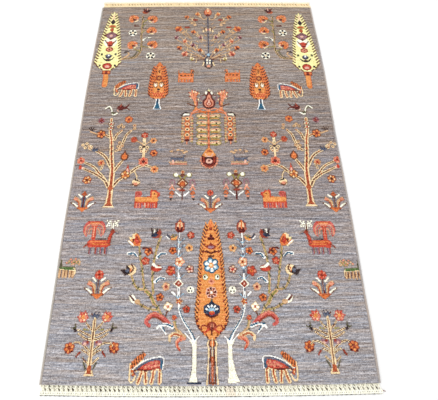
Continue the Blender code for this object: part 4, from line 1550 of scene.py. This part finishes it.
def pile_wool():
    """Cut wool ends: matt, softly sheened, with the tufts' fine grain."""
    material, tree, shader = nodes_of("pile_wool")
    tree.links.new(tinted(tree, noise(tree, 620, 3), 0.86, 1.12), shader.inputs["Base Color"])
    bumped(tree, shader, noise(tree, 900, 2), 0.0006, 0.7)
    shader.inputs["Roughness"].default_value = 0.95
    shader.inputs["Specular IOR Level"].default_value = 0.15
    shader.inputs["Sheen Weight"].default_value = 0.12
    shader.inputs["Sheen Roughness"].default_value = 0.5
    return material


def back_weave():
    """Flat knot loops between tight wefts."""
    material, tree, shader = nodes_of("back_weave")
    tree.links.new(tinted(tree, noise(tree, 500, 2, (1, 0.3, 1)), 0.85, 1.1), shader.inputs["Base Color"])
    bumped(tree, shader, noise(tree, 700, 2, (0.4, 1.4, 1)), 0.0005, 0.6)
    shader.inputs["Roughness"].default_value = 0.9
    shader.inputs["Specular IOR Level"].default_value = 0.15
    return material


def yarn(name, along, low, high, roughness, sheen):
    """Spun yarn, its fibres drawn out along one axis."""
    material, tree, shader = nodes_of(name)
    fibres = noise(tree, 800, 3, along)
    tree.links.new(tinted(tree, fibres, low, high), shader.inputs["Base Color"])
    bumped(tree, shader, fibres, 0.0004, 0.6)
    shader.inputs["Roughness"].default_value = roughness
    shader.inputs["Specular IOR Level"].default_value = 0.2
    shader.inputs["Sheen Weight"].default_value = sheen
    shader.inputs["Sheen Roughness"].default_value = 0.5
    return material


def studio_floor():
    """Plain matt paper, almost white."""
    material, tree, shader = nodes_of("studio_floor")
    ramp = add(tree, "ShaderNodeMapRange", To_Min=0.0, To_Max=1.0)
    mix = tree.nodes.new("ShaderNodeMix")
    mix.data_type = "RGBA"
    mix.inputs["A"].default_value = (*FLOOR_TONE, 1)
    mix.inputs["B"].default_value = (*(FLOOR_PATCHES * t for t in FLOOR_TONE), 1)
    tree.links.new(noise(tree, 3, 2), ramp.inputs["Value"])
    tree.links.new(ramp.outputs["Result"], mix.inputs["Factor"])
    tree.links.new(mix.outputs["Result"], shader.inputs["Base Color"])
    shader.inputs["Roughness"].default_value = 0.9
    shader.inputs["Specular IOR Level"].default_value = 0.1
    return material


# Stage

def floor():
    """The studio floor, just under the carpet."""
    mesh = bpy.data.meshes.new("floor")
    half = FLOOR_SIDE / 2
    corners = [(-half, -half, 0), (half, -half, 0), (half, half, 0), (-half, half, 0)]
    mesh.from_pydata(corners, [], [(0, 1, 2, 3)])
    mesh.materials.append(studio_floor())
    piece = bpy.data.objects.new("floor", mesh)
    piece.location.z = -FLOOR_DROP
    bpy.context.collection.objects.link(piece)


def lights():
    """A pale sky and two large soft lamps."""
    world = bpy.data.worlds.new("studio")
    world.use_nodes = True
    world.node_tree.nodes["Background"].inputs["Color"].default_value = (*SKY_TONE, 1)
    world.node_tree.nodes["Background"].inputs["Strength"].default_value = SKY_STRENGTH
    bpy.context.scene.world = world
    for name, place, size, power in LAMPS:
        lamp = bpy.data.lights.new(name, "AREA")
        lamp.shape, lamp.size, lamp.energy = "SQUARE", size, power
        stand = bpy.data.objects.new(name, lamp)
        stand.location = place
        stand.rotation_euler = (CARPET_MIDDLE - Vector(place)).to_track_quat("-Z", "Y").to_euler()
        bpy.context.collection.objects.link(stand)


def camera():
    """The photo's camera, fitted to the carpet's four sides."""
    yaw, pitch, roll = (math.radians(angle) for angle in CAMERA_TURN)
    level = Vector((-math.sin(yaw), math.cos(yaw), 0))
    across = Vector((math.cos(yaw), math.sin(yaw), 0))
    ahead = level * math.cos(pitch) - Vector((0, 0, 1)) * math.sin(pitch)
    below = ahead.cross(across)
    right = across * math.cos(roll) + below * math.sin(roll)
    down = below * math.cos(roll) - across * math.sin(roll)
    data = bpy.data.cameras.new("photo_camera")
    data.lens, data.sensor_width = CAMERA_LENS, SENSOR_WIDTH
    data.shift_x = CAMERA_SHIFT
    data.clip_start = 0.01
    stand = bpy.data.objects.new("photo_camera", data)
    turned = Matrix((right, -down, -ahead)).transposed().to_4x4()
    stand.matrix_world = Matrix.Translation(CAMERA_PLACE) @ turned
    bpy.context.collection.objects.link(stand)
    bpy.context.scene.camera = stand


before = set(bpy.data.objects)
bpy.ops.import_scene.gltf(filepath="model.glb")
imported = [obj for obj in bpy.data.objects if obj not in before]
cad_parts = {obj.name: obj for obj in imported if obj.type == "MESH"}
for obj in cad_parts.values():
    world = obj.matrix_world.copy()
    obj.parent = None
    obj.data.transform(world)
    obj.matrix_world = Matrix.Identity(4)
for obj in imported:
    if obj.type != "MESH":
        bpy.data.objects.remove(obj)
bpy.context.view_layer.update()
rng = np.random.default_rng(SEED)

outline = Outline(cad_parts["pile_field"])
cloth = Cloth(outline.share)
draw_all(cloth)
colours = dyed(cloth, rng)
strips = pile(outline, colours, rng, pile_wool())
back = carpet_back(outline, colours, rng, back_weave())
side_wool = yarn("side_wool", (1.5, 0.3, 1), 0.84, 1.1, 0.85, 0.1)
cords = [
    side_cord("cord_left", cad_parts["selvedge_left"], LEFT_TONE, rng, side_wool),
    side_cord("cord_right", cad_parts["selvedge_right"], RIGHT_TONE, rng, side_wool),
]
cotton = yarn("warp_cotton", (1, 0.35, 1), 0.88, 1.08, 0.85, 0.05)
ends = [
    warp_end("warps_near", "fringe_near", outline.near, -1, NEAR_BAND, rng, cotton),
    warp_end("warps_far", "fringe_far", outline.far, 1, FAR_BAND, rng, cotton),
]

floor()
lights()
camera()
bpy.context.scene.view_settings.view_transform = "Standard"
